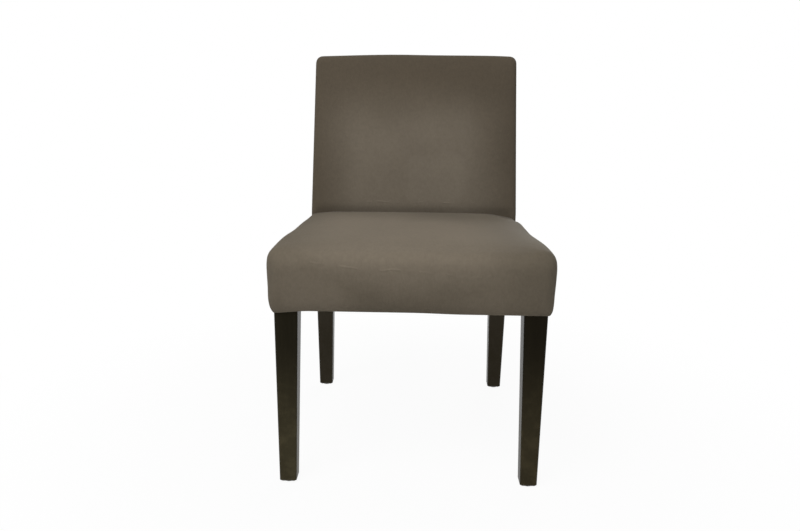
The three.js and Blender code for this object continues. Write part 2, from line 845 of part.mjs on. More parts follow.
// The posts with their webbing, which the foam of the back wraps
function backCore() {
  const heights = [legClearHeight - cutOverrun, ...bendHeights(), postTopZ + fitGap];
  return loft(heights.map((z) => {
    const half = postSection(z).x1 + fitGap;
    const y0 = postFrontY(z) - webStack - fitGap;
    return easedRing({ x0: -half, x1: half, y0, y1: backRearY(z) + cutOverrun }, z, legEase);
  }));
}

function backFoam() {
  const form = backForm(coverThickness + fitGap, legClearHeight + skirtLift);
  return cut(form, backCore(), tuckDoor(legClearHeight));
}

// Outside back: fabric over card that follows the rear of the posts
function outsideBackPanel() {
  const heights = [legClearHeight, ...bendHeights(), panelTopZ];
  return loft(heights.map((z) => {
    const lean = backTopLean * clamp01((z - creaseZ) / (coverTopZ - creaseZ));
    const half = creaseHalf - panelInset - lean;
    const y = postRearY(z) + panelY;
    const corners = [[-half, y], [half, y], [half, y + panelThickness], [-half, y + panelThickness]];
    return corners.map(([px, py]) => new THREE.Vector3(px, py, z));
  }));
}

function dustCover() {
  const halfAt = (y) => frameHalfAt(y) - dustCoverInset;
  const [legX, postX] = [frontLegInnerX - dustCoverLegGap, postInnerX - dustCoverLegGap];
  const [legY, postY] = [legTopSize + dustCoverLegGap, frameDepth - dustCoverLegGap];
  const rearY = frameDepth + legTopSize - dustCoverInset;
  const right = [
    [legX, dustCoverInset], [legX, legY], [halfAt(legY), legY],
    [halfAt(postY), postY], [postX, postY], [postX, rearY],
  ];
  const left = right.map(([x, y]) => [-x, y]).reverse();
  const top = legClearHeight - fitGap;
  return plate([...right, ...left], top - dustCoverThickness, top);
}

function glide() {
  const pinTop = glideHeight + glidePinLength;
  const profile = [
    [0, 0], [glideFlatRadius, 0], [glideRadius, glideHeight / 2], [glideRadius, glideHeight],
    [glidePinRadius, glideHeight], [glidePinRadius, pinTop - glidePinPoint], [0, pinTop],
  ];
  return revolve(profile).rotateX(Math.PI / 2);
}

// Assembly

const chair = new THREE.Group();

function place(parent, name, geometry, finish, x = 0, y = 0, z = 0) {
  const mesh = new THREE.Mesh(welded(geometry), new THREE.MeshStandardMaterial(finish));
  mesh.name = name;
  mesh.position.set(x, y, z);
  parent.add(mesh);
  return mesh;
}

function placePair(name, geometry, finish) {
  place(chair, `${name}_left`, mirrored(geometry), finish);
  place(chair, `${name}_right`, geometry, finish);
}

function addFrame() {
  placePair('front_leg', frontLeg(), lacquer);
  placePair('rear_post', rearPost(), lacquer);
  placePair('side_rail', sideRail(), bareWood);
  place(chair, 'front_rail', frontRail(), bareWood);
  place(chair, 'rear_rail', rearRail(), bareWood);
}

function addCorner(name, corner) {
  placePair(`${name}_corner_block`, cornerBlock(corner), bareWood);
  const [intoRail, intoSide] = cornerScrews(corner).map(screw);
  placePair(`${name}_corner_screw_a`, intoRail, zinc);
  placePair(`${name}_corner_screw_b`, intoSide, zinc);
}

function addSeatWebbing() {
  const insideFrontY = railSetback + railThickness;
  const crossPlaces = spread(seatWebCount, rearRailY - insideFrontY, seatCrossWebMargin);
  const alongPlaces = spread(seatWebCount, 2 * postInnerX, seatWebMargin);
  const insideMiddleY = (insideFrontY + rearRailY) / 2;
  const alongLength = rearRailY + railThickness - railSetback - 2 * webEndInset;
  const alongMiddleY = (railSetback + rearRailY + railThickness) / 2;
  alongPlaces.forEach((x, i) => {
    const crossings = crossPlaces.map((y) => y + insideMiddleY - alongMiddleY);
    const web = strap(alongLength, crossings, i % 2 === 0).rotateZ(Math.PI / 2);
    place(chair, `seat_web_long_${i + 1}`, web, jute, x, alongMiddleY, railTopZ);
  });
  crossPlaces.forEach((crossY, i) => {
    const y = crossY + insideMiddleY;
    const length = 2 * (sideRailOuterX(y + webWidth / 2) - webEndInset);
    const web = strap(length, alongPlaces, i % 2 === 1);
    place(chair, `seat_web_cross_${i + 1}`, web, jute, 0, y, railTopZ);
  });
}

function addBackFrame() {
  const rake = new THREE.Group();
  rake.position.set(0, frameDepth, rakeOriginZ);
  rake.rotation.x = -postRake;
  chair.add(rake);
  place(rake, 'back_top_rail', backRail(backTopRailZ, backTopRailHeight), bareWood);
  place(rake, 'back_lower_rail', backRail(backLowerRailRise, backLowerRailHeight), bareWood);
  addBackWebbing(rake);
}

function addBackWebbing(rake) {
  const face = new THREE.Group();
  face.rotation.x = Math.PI / 2;
  rake.add(face);
  const windowBottom = backLowerRailRise + backLowerRailHeight;
  const windowMiddle = (windowBottom + backTopRailZ) / 2;
  const crossPlaces = spread(backWebCount, backTopRailZ - windowBottom, backWebMargin);
  const uprightPlaces = spread(backUprightWebCount, 2 * postInnerX, backUprightWebMargin);
  const crossLength = 2 * (postOuterX - postTopLean - webEndInset);
  const bottom = backLowerRailRise + webEndInset;
  const top = backTopRailZ + backTopRailHeight - webEndInset;
  const middle = (bottom + top) / 2;
  crossPlaces.forEach((rise, i) => {
    const web = strap(crossLength, uprightPlaces, i % 2 === 0);
    place(face, `back_web_cross_${i + 1}`, web, jute, 0, windowMiddle + rise, 0);
  });
  uprightPlaces.forEach((x, i) => {
    const crossings = crossPlaces.map((rise) => windowMiddle + rise - middle);
    const web = strap(top - bottom, crossings, i % 2 === 1).rotateZ(Math.PI / 2);
    place(face, `back_web_upright_${i + 1}`, web, jute, x, middle, 0);
  });
}

function addUpholstery() {
  place(chair, 'seat_foam', seatFoam(), foam);
  place(chair, 'seat_cover', seatCover(), suede);
  place(chair, 'back_foam', backFoam(), foam);
  place(chair, 'back_cover', backCover(), suede);
  place(chair, 'outside_back_panel', outsideBackPanel(), suede);
  place(chair, 'dust_cover', dustCover(), lining);
}

function addGlides() {
  for (const [name, section] of [['front_glide', frontLegSection], ['rear_glide', postSection]]) {
    const [x, y] = footCentre(section);
    place(chair, `${name}_left`, glide(), nylon, -x, y, 0);
    place(chair, `${name}_right`, glide(), nylon, x, y, 0);
  }
}

addFrame();
addCorner('front', frontCorner);
addCorner('rear', rearCorner);
addSeatWebbing();
addBackFrame();
addUpholstery();
addGlides();

// Centres the chair between the front of the seat and the top of the outside back
const rearmostY = postRearY(panelTopZ) + panelY + panelThickness;
chair.position.y = (seatBulge - rearmostY) / 2;

export default chair;
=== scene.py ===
import json
import math

import bpy
import numpy as np
from mathutils import Matrix, Vector
from mathutils.bvhtree import BVHTree


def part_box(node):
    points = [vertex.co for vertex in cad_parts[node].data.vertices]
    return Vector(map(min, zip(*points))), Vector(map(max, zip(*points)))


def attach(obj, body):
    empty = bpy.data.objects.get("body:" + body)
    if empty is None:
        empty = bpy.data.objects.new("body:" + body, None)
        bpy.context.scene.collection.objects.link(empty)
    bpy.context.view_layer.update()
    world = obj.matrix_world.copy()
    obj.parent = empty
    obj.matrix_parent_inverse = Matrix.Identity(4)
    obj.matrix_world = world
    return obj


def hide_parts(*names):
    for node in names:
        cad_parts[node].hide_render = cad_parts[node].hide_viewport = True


# An upholstered dining chair. Lengths are in metres, +Z is up and the sitter faces -Y.

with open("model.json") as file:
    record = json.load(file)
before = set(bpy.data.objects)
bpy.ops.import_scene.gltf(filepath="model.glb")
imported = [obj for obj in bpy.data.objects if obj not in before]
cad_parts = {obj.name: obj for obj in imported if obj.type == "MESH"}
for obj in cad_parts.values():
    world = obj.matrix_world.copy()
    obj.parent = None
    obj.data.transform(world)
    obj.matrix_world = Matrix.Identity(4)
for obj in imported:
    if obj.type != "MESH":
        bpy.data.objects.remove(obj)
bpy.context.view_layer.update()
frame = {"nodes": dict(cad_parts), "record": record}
scene = bpy.context.scene

# Sizes of the chair. The frame gives some and the rest match it.

SEAT_LOW, SEAT_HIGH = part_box("seat_cover")
BACK_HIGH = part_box("back_cover")[1]
PANEL_LOW, PANEL_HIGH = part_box("outside_back_panel")
LINING_LOW, LINING_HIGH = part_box("dust_cover")
LEG_LOW, LEG_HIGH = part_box("front_leg_right")

HEM_Z = SEAT_LOW.z         # lower edge of the upholstery
SEAT_FRONT_Y = SEAT_LOW.y
CREASE_Y = SEAT_HIGH.y     # where the seat meets the back
CREASE_Z = 0.4639          # height of that line on the back
SEAT_HALF = SEAT_HIGH.x    # half width at the front
CREASE_HALF = BACK_HIGH.x  # half width at the crease
DRAW_IN = 0.011            # how far the seat's foot is drawn in
WIDEST_RISE = 0.084        # from the hem up to the seat's widest line
WIDEST_Z = HEM_Z + WIDEST_RISE
SHOULDER_RISE = 0.031      # from that line to the top of the seat's rounded edge
SEAT_CROWN = 0.0105        # how much higher its middle is

RAKE = math.tan(math.radians(11.8))  # how the back leans
BEND_Z = 0.4271                      # where the posts start to lean back
BEND_RUN = 0.04                      # the height over which they bend
POST_RISE = 0.385                    # from the bend to the top of a post
POST_FRONT_Y = 0.17397               # front of a post at the bend
POST_DEPTHS = 0.044, 0.026           # of a post at the bend and at its top
BACK_PAD = 0.016                     # from the front of the posts to the front of the back
BACK_SWELL = 0.0085                  # how much further forward its middle is
BACK_CROWN = 0.004                   # how much higher the middle of its top is
BACK_TOP_Z = BACK_HIGH.z - BACK_CROWN
BACK_LEAN_IN = 0.007                 # how much less its half width is at the top
PANEL_SPACE = 0.0028                 # from the rear of the posts to the rear of the cover

CLOTH = 0.0014  # thickness of the suede
GAP = 0.0004    # between the seat and the back


# Small sums

def mix(a, b, t):
    return a + (b - a) * t


def ease(t):
    t = np.clip(t, 0.0, 1.0)
    return t * t * (3 - 2 * t)


def bump(d):
    """One in the middle, falling smoothly to nothing at a distance of one."""
    return 1 - ease(np.abs(d))


def round_off(inset, reach):
    """How much of a rounded edge's rise is reached at an inset from it, from 0 to 1."""
    t = np.clip(1 - inset / reach, 0.0, 1.0)
    return np.sqrt(1 - t ** 2)


# Meshes

def add_object(name, data):
    added = bpy.data.objects.new(name, data)
    scene.collection.objects.link(added)
    return added


def new_piece(name, points, faces):
    mesh = bpy.data.meshes.new(name)
    mesh.from_pydata([tuple(p) for p in points], [], faces)
    mesh.polygons.foreach_set("use_smooth", [True] * len(mesh.polygons))
    mesh.update()
    return add_object(name, mesh)


def points_of(piece):
    co = np.zeros(len(piece.data.vertices) * 3, np.float32)
    piece.data.vertices.foreach_get("co", co)
    return co.reshape(-1, 3).astype(float)


def set_points(piece, points):
    piece.data.vertices.foreach_set("co", np.asarray(points, np.float32).ravel())
    piece.data.update()


def form_of(piece):
    """A piece's surface as it is now, for finding where it lies."""
    faces = [list(face.vertices) for face in piece.data.polygons]
    return BVHTree.FromPolygons(points_of(piece).tolist(), faces)


def modify(piece, kind, **settings):
    modifier = piece.modifiers.new(kind.lower(), kind)
    for name, value in settings.items():
        setattr(modifier, name, value)
    return modifier


def freeze(piece):
    """Replaces a mesh by what its modifiers make of it."""
    graph = bpy.context.evaluated_depsgraph_get()
    made = bpy.data.meshes.new_from_object(piece.evaluated_get(graph))
    piece.modifiers.clear()
    piece.data = made
    return piece


def give_thickness(piece, thickness):
    """Gives cloth its second surface, on the inside, and rounds off the facets."""
    modify(piece, "SOLIDIFY", thickness=thickness, offset=-1)
    modify(piece, "SUBSURF", levels=1, render_levels=1)


def copy_of(node, name):
    """A loose copy of a frame node's form, to be softened."""
    piece = add_object(name, frame["nodes"][node].data.copy())
    piece.data.materials.clear()
    return piece


def paint(piece, material):
    piece.data.materials.clear()
    piece.data.materials.append(material)


def finish_piece(piece, slot, material, *nodes):
    """Hangs a piece on the chair, in place of the frame nodes that it stands for."""
    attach(piece, "root")
    if nodes:
        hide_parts(*nodes)
    paint(piece, material)


# Padded forms. Each is a block on a lattice: a wall all round and a cap over it,
# with the lattice closer together near the rounded edges.

PITCH = 0.009       # between a lattice's lines, away from the edges
WALL_HOLD = 0.95    # how firmly the frame holds a cover's walls, from 0 to 1
PRESSURE = 4.0      # that blows a cover out
MOST_SWELL = 0.004  # how far a point of it may move
SETTLING_FRAMES = 20


def edge_lines(length, insets, pitch):
    """Places along one side of a block, close together near its ends."""
    room = length - 2 * insets[-1]
    count = max(2, round(room / pitch))
    middle = [insets[-1] + room * n / count for n in range(1, count)]
    return np.array(insets + middle + [length - x for x in reversed(insets)])


# For each side of a block: which of the first or last lines it lies on, and the steps from a
# face's first corner to its others

SIDES = {
    "low": ((None, None, 0), ((0, 1, 0), (1, 1, 0), (1, 0, 0))),
    "cap": ((None, None, -1), ((1, 0, 0), (1, 1, 0), (0, 1, 0))),
    "near": ((None, 0, None), ((1, 0, 0), (1, 0, 1), (0, 0, 1))),
    "far": ((None, -1, None), ((0, 0, 1), (1, 0, 1), (1, 0, 0))),
    "left": ((0, None, None), ((0, 0, 1), (0, 1, 1), (0, 1, 0))),
    "right": ((-1, None, None), ((0, 1, 0), (0, 1, 1), (0, 0, 1))),
}


class Block:
    """The surface of a box lattice, open where faces are left out."""

    def __init__(self, across, along, up):
        self.lines = (across, along, up)
        self.index, self.faces = {}, []

    def vertex(self, key):
        return self.index.setdefault(key, len(self.index))

    def side(self, name, keep=lambda a, b, c: True):
        """Adds one side's faces, where keep says so for a face's middle."""
        fixed, steps = SIDES[name]
        spans = []
        for line, place in zip(self.lines, fixed):
            last = len(line) - 1
            spans.append(range(last) if place is None else [0 if place == 0 else last])
        for base in ((i, j, k) for i in spans[0] for j in spans[1] for k in spans[2]):
            corners = [base] + [tuple(x + d for x, d in zip(base, step)) for step in steps]
            middle = [sum(line[c[n]] for c in corners) / 4 for n, line in enumerate(self.lines)]
            if keep(*middle):
                self.faces.append([self.vertex(c) for c in corners])

    def places(self):
        """The lattice place of each vertex along the three directions, and its row upwards."""
        keys = np.array(list(self.index))
        return [self.lines[n][keys[:, n]] for n in range(3)] + [keys[:, 2]]


def rounded_corners(a, b, half, radius):
    """Rounds a plan's two corners at b = 0. Gives the new places and the inset from its edge."""
    inset_a = half - np.abs(a)
    u = np.clip((radius - inset_a) / radius, 0, 1)
    v = np.clip((radius - b) / radius, 0, 1)
    most, size = np.maximum(u, v), np.maximum(np.hypot(u, v), 1e-9)
    corner = (u > 0) & (v > 0)
    new_a = np.where(corner, np.sign(a) * (half - radius + radius * u * most / size), a)
    new_b = np.where(corner, radius - radius * v * most / size, b)
    return new_a, new_b, np.where(corner, radius * (1 - most), np.minimum(inset_a, b))


def hold(firm, wall, inset, reach):
    """How firmly each point of a cover is held: wholly, as a wall, or less and less inwards."""
    held = np.where(firm, 1.0, np.where(wall, WALL_HOLD, 0.0))
    return np.maximum(held, WALL_HOLD * (1 - ease(inset / reach)))


def inflate(piece, held):
    """Blows a cover out a little where it isn't held, as foam does, and keeps the shape."""
    start = points_of(piece)
    group = piece.vertex_groups.new(name="held")
    for n, weight in enumerate(held):
        group.add([n], float(weight), "REPLACE")
    cloth = modify(piece, "CLOTH")
    settings = cloth.settings
    settings.quality = 5
    settings.mass = 0.3
    settings.tension_stiffness = settings.compression_stiffness = 15
    settings.shear_stiffness = 5
    settings.bending_stiffness = 2.0
    settings.use_pressure = True
    settings.uniform_pressure_force = PRESSURE
    settings.vertex_group_mass = "held"
    settings.effector_weights.gravity = 0
    cloth.collision_settings.use_collision = False
    cloth.point_cache.frame_start, cloth.point_cache.frame_end = 1, SETTLING_FRAMES
    for number in range(1, SETTLING_FRAMES + 1):
        scene.frame_set(number)
    graph = bpy.context.evaluated_depsgraph_get()
    moved = points_of(piece.evaluated_get(graph))
    piece.modifiers.clear()
    piece.vertex_groups.clear()
    scene.frame_set(1)
    step = moved - start
    size = np.maximum(np.linalg.norm(step, axis=1), 1e-9)
    kept = MOST_SWELL * np.tanh(size / MOST_SWELL)
    set_points(piece, start + step * (kept / size)[:, None])


def dress(piece, held, shape, finish, node):
    """Makes a cover of a form: blown out, given its own unevenness, thickened and finished.
    Gives its outer surface, for the foam to lie under."""
    inflate(piece, held)
    set_points(piece, shape(points_of(piece)))
    outer = form_of(piece)
    give_thickness(piece, CLOTH)
    finish_piece(piece, "suede", finish, node)
    return outer


# Shader effects that several finishes share

COLOUR, VALUE, PLACE = "NodeSocketColor", "NodeSocketFloat", "NodeSocketVector"


def fill(tree, node, inputs):
    """Gives a node's inputs, by name or number, their values or the sockets that feed them."""
    for name, value in inputs.items():
        if isinstance(value, bpy.types.NodeSocket):
            tree.links.new(value, node.inputs[name])
        else:
            node.inputs[name].default_value = value


def put(tree, kind, inputs=None, **settings):
    """Adds a node with its settings and inputs."""
    node = tree.nodes.new(kind)
    for name, value in settings.items():
        setattr(node, name, value)
    fill(tree, node, inputs or {})
    return node


def sum_of(tree, operation, *values):
    return put(tree, "ShaderNodeMath", dict(enumerate(values)), operation=operation).outputs[0]


def times(tree, first, second):
    return sum_of(tree, "MULTIPLY", first, second)


def vary(tree, value, low, high):
    """Maps a value from 0 to 1 onto a range."""
    node = put(tree, "ShaderNodeMapRange", {"Value": value, "To Min": low, "To Max": high})
    return node.outputs["Result"]


def ramp(tree, value, start, end):
    """Rises smoothly from 0 at start to 1 at end."""
    node = put(tree, "ShaderNodeMapRange", {"Value": value, "From Min": start, "From Max": end},
               interpolation_type="SMOOTHSTEP")
    return node.outputs["Result"]


def blend_colours(tree, share, first, second):
    node = put(tree, "ShaderNodeMix", {0: share, 6: first, 7: second}, data_type="RGBA")
    return node.outputs[2]


def vector(tree, operation, *values):
    inputs = dict(enumerate(values))
    return put(tree, "ShaderNodeVectorMath", inputs, operation=operation).outputs[0]


def parts_of(tree, place):
    """The X, Y and Z of a vector."""
    return put(tree, "ShaderNodeSeparateXYZ", {0: place}).outputs


def shaded(tree, colour, share):
    """A colour made lighter or darker by a share."""
    inputs = {0: colour, "Scale": share}
    return put(tree, "ShaderNodeVectorMath", inputs, operation="SCALE").outputs[0]


def noise(tree, place, scale, detail=2.0, roughness=0.5):
    node = put(tree, "ShaderNodeTexNoise", {"Vector": place, "Scale": scale, "Detail": detail,
                                            "Roughness": roughness})
    return node.outputs["Fac"]


def stretched(tree, place, scale):
    return vector(tree, "MULTIPLY", place, scale)


def effect(name, inputs, outputs, build):
    """Makes a node group, with the place on the chair as its first input. The function build is
    given the tree and the inputs, and gives the outputs by name."""
    group = bpy.data.node_groups.new(name, "ShaderNodeTree")
    for label, (kind, value) in {"Place": (PLACE, (0, 0, 0)), **inputs}.items():
        socket = group.interface.new_socket(name=label, in_out="INPUT", socket_type=kind)
        socket.default_value = value
    for label, kind in outputs.items():
        group.interface.new_socket(name=label, in_out="OUTPUT", socket_type=kind)
    given = group.nodes.new("NodeGroupInput")
    result = group.nodes.new("NodeGroupOutput")
    for label, socket in build(group, given.outputs).items():
        group.links.new(socket, result.inputs[label])
    return group


def build_nap(tree, given):
    """Short pile with mottling and fine fibre. Painted light and shade: its colour goes from the
    shaded pile colour to the lit one by the share it is given.
    """
    place = given["Place"]
    patches = noise(tree, place, 7.0, 3.0)
    mottle = noise(tree, place, 95.0, 3.0, 0.6)
    brushed = noise(tree, stretched(tree, place, (260.0, 150.0, 150.0)), 1.0, 2.0)
    fibre = noise(tree, place, 1500.0, 2.0, 0.7)
    tone = sum_of(tree, "ADD", vary(tree, patches, -0.09, 0.09), vary(tree, mottle, -0.085, 0.085))
    tone = sum_of(tree, "ADD", tone, vary(tree, brushed, -0.07, 0.07))
    tone = sum_of(tree, "ADD", tone, vary(tree, fibre, -0.08, 0.08))
    tone = sum_of(tree, "MULTIPLY_ADD", tone, given["Contrast"], 1.0)
    # painted light and shade: the shaded colour where the share is 0, the lit one where it is 1
    colour = blend_colours(tree, given["Light and shade"], given["Shaded deep pile"], given["Lit rubbed pile"])
    height = sum_of(tree, "MULTIPLY_ADD", fibre, 0.45, times(tree, mottle, 0.6))
    height = sum_of(tree, "MULTIPLY_ADD", brushed, 0.35, height)
    return {"Colour": shaded(tree, colour, tone), "Height": height,
            "Roughness": vary(tree, mottle, 0.82, 0.98)}


def build_light_and_shade_area(tree, given):
    """A soft area on a cushion, full in the middle and fading out towards its edges. It places
    painted light and painted shade, and stands also for rubbing of the pile.
    """
    place = given["Place"]
    side = parts_of(tree, place)["X"]  # alike for all three axes
    place = vector(tree, "MULTIPLY_ADD", given["Skew"], side, place)
    drift = put(tree, "ShaderNodeTexNoise", {"Vector": place, "Scale": 5.0, "Detail": 2.0})
    drift = vector(tree, "SUBTRACT", drift.outputs["Color"], (0.5, 0.5, 0.5))
    place = vector(tree, "MULTIPLY_ADD", drift, (0.07, 0.07, 0.07), place)
    away = vector(tree, "ABSOLUTE", vector(tree, "SUBTRACT", place, given["Middle"]))
    room = vector(tree, "SUBTRACT", given["Reach"], away)
    parts = parts_of(tree, vector(tree, "DIVIDE", room, given["Fade"]))
    shares = [ramp(tree, parts[axis], 0.0, 1.0) for axis in "XYZ"]
    both = times(tree, shares[0], shares[1])
    return {"Light and shade": times(tree, both, shares[2])}


def build_crease(tree, given):
    """A faint line that wanders across a cushion, where the fabric has been sat into a fold.
    It shows only in front of the depth that is called Nearest."""
    parts = parts_of(tree, given["Place"])
    along = put(tree, "ShaderNodeCombineXYZ", {0: parts["X"], 1: given["Level"]}).outputs[0]
    drift = sum_of(tree, "SUBTRACT", noise(tree, along, 17.0, 2.0), 0.5)
    line = sum_of(tree, "MULTIPLY_ADD", parts["X"], given["Lean"], given["Level"])
    line = sum_of(tree, "MULTIPLY_ADD", drift, given["Wander"], line)
    above = sum_of(tree, "DIVIDE", sum_of(tree, "SUBTRACT", parts["Z"], line), given["Width"])
    fold = sum_of(tree, "SUBTRACT", 1.0, ramp(tree, sum_of(tree, "ABSOLUTE", above), 0.0, 1.0))
    broken = ramp(tree, noise(tree, along, 31.0, 2.0), 0.48, 0.64)
    ends = sum_of(tree, "DIVIDE", sum_of(tree, "ABSOLUTE", parts["X"]), given["Half length"])
    reach = sum_of(tree, "SUBTRACT", 1.0, ramp(tree, ends, 0.75, 1.0))
    behind = sum_of(tree, "SUBTRACT", parts["Y"], given["Nearest"])
    front = sum_of(tree, "SUBTRACT", 1.0, ramp(tree, behind, -0.02, 0.02))
    here = times(tree, reach, front)
    return {"Fold": times(tree, times(tree, fold, broken), here)}


def build_grain(tree, given):
    """Long fibres and pores, stretched along one direction."""
    place = stretched(tree, given["Place"], given["Stretch"])
    bands = noise(tree, place, 14.0, 4.0, 0.55)
    streaks = noise(tree, place, 60.0, 5.0, 0.65)
    pores = ramp(tree, noise(tree, place, 210.0, 2.0), 0.62, 0.74)
    share = sum_of(tree, "MULTIPLY_ADD", bands, 0.6, times(tree, streaks, 0.4))
    colour = blend_colours(tree, ramp(tree, share, 0.36, 0.64), given["Dark"], given["Light"])
    colour = blend_colours(tree, times(tree, pores, 0.55), colour, given["Dark"])
    height = sum_of(tree, "MULTIPLY_ADD", pores, -0.8, times(tree, streaks, 0.5))
    return {"Colour": colour, "Height": height, "Streaks": streaks}


def build_weave(tree, given):
    """Plain weave: threads that pass over and under each other in the cloth's own plane."""
    place = stretched(tree, given["Place"], given["Threads"])
    parts = parts_of(tree, place)
    across = sum_of(tree, "SINE", times(tree, parts["X"], math.pi))
    along = sum_of(tree, "SINE", times(tree, parts["Y"], math.pi))
    cell = times(tree, across, along)
    over = sum_of(tree, "ABSOLUTE", across)
    under = sum_of(tree, "ABSOLUTE", along)
    lean = ramp(tree, cell, -0.15, 0.15)
    height = put(tree, "ShaderNodeMix", {0: lean, 2: over, 3: under}).outputs[0]
    slub = noise(tree, place, 0.12, 4.0)
    share = sum_of(tree, "MULTIPLY_ADD", slub, 0.6, times(tree, lean, 0.4))
    colour = blend_colours(tree, share, given["First thread"], given["Second thread"])
    # painted shade: the colour darkens where the threads dip between each other
    colour = shaded(tree, colour, vary(tree, height, 0.55, 1.1))
    return {"Colour": colour, "Height": height, "Slub": slub}


def build_handling(tree, given):
    """Patches that gather low down, which carry dust and painted light and shade, scuffs that
    gather low down, and small marks all over.
    """
    place = given["Place"]
    start = times(tree, given["Reach"], 0.2)
    height = parts_of(tree, place)["Z"]
    low = sum_of(tree, "SUBTRACT", 1.0, ramp(tree, height, start, given["Reach"]))
    patches = ramp(tree, noise(tree, place, 38.0, 4.0, 0.6), 0.42, 0.68)
    level = stretched(tree, place, (60.0, 60.0, 420.0))
    scuffs = ramp(tree, noise(tree, level, 1.0, 3.0), 0.66, 0.74)
    foot_shading_and_dust = times(tree, low, sum_of(tree, "MULTIPLY_ADD", patches, 0.35, 0.65))
    marks = times(tree, scuffs, sum_of(tree, "MULTIPLY_ADD", low, 0.8, 0.2))
    return {"Dust": foot_shading_and_dust, "Marks": marks}


SUEDE_NAP = effect(
    "suede_nap",
    {"Lit rubbed pile": (COLOUR, (0.16, 0.14, 0.11, 1)), "Shaded deep pile": (COLOUR, (0.1, 0.08, 0.06, 1)),
     "Light and shade": (VALUE, 1.0), "Contrast": (VALUE, 1.0)},
    {"Colour": COLOUR, "Height": VALUE, "Roughness": VALUE}, build_nap)
LIGHT_AND_SHADE_AREA = effect(
    "light_and_shade_area",
    {"Middle": (PLACE, (0, 0, 0)), "Reach": (PLACE, (1, 1, 1)), "Fade": (PLACE, (0.1, 0.1, 0.1)),
     "Skew": (PLACE, (0, 0, 0))},
    {"Light and shade": VALUE}, build_light_and_shade_area)
SOFT_CREASE = effect(
    "soft_crease",
    {"Level": (VALUE, 0.4), "Lean": (VALUE, 0.0), "Wander": (VALUE, 0.01), "Width": (VALUE, 0.004),
     "Half length": (VALUE, 0.2), "Nearest": (VALUE, -0.2)},
    {"Fold": VALUE}, build_crease)
WOOD_GRAIN = effect(
    "wood_grain",
    {"Stretch": (PLACE, (1, 1, 0.06)), "Light": (COLOUR, (0.4, 0.3, 0.2, 1)),
     "Dark": (COLOUR, (0.2, 0.1, 0.05, 1))},
    {"Colour": COLOUR, "Height": VALUE, "Streaks": VALUE}, build_grain)
WEAVE = effect(
    "plain_weave",
    {"Threads": (PLACE, (500, 500, 500)), "First thread": (COLOUR, (0.3, 0.2, 0.1, 1)),
     "Second thread": (COLOUR, (0.2, 0.12, 0.06, 1))},
    {"Colour": COLOUR, "Height": VALUE, "Slub": VALUE}, build_weave)
HANDLING = effect(
    "handling_marks", {"Reach": (VALUE, 0.08)},
    {"Dust": VALUE, "Marks": VALUE}, build_handling)


# Finishes

def use(tree, group, inputs):
    return put(tree, "ShaderNodeGroup", inputs, node_tree=group).outputs


def new_finish(name):
    """A material with its shader, and the place on the chair that its textures are laid out by."""
    finish = bpy.data.materials.new(name)
    finish.use_nodes = True
    tree = finish.node_tree
    shader = next(node for node in tree.nodes if node.type == "BSDF_PRINCIPLED")
    place = put(tree, "ShaderNodeTexCoord").outputs["Object"]
    return finish, tree, shader, place


def roughen(tree, shader, height, strength, distance):
    """Adds a relief on top of the one that the shader may have already."""
    node = put(tree, "ShaderNodeBump", {"Height": height, "Strength": strength,
                                        "Distance": distance})
    if shader.inputs["Normal"].is_linked:
        tree.links.new(shader.inputs["Normal"].links[0].from_socket, node.inputs["Normal"])
    tree.links.new(node.outputs["Normal"], shader.inputs["Normal"])


def feed(tree, shader, **inputs):
    fill(tree, shader, {name.replace("_", " "): value for name, value in inputs.items()})


# painted light and shade: the suede's lit colour, which also stands for rubbing of the pile, and
# its shaded colour
LIT_RUBBED_PILE = (0.165, 0.140, 0.107, 1)
SHADED_DEEP_PILE = (0.084, 0.067, 0.047, 1)
PILE_CONTRAST = 1.3
CREASE_PAINTED_SHADE = 0.74     # painted shade: times the colour along the crease between seat and back
FOLD_HIGHLIGHT = 1.07     # painted highlight: times the colour on the crest of a soft crease
CREASE_SHADE_CORNER_X = 0.15  # past this, to the right, the painted shade starts further forward, where the seat's rear corner falls away
PILE_RELIEF = 0.0012


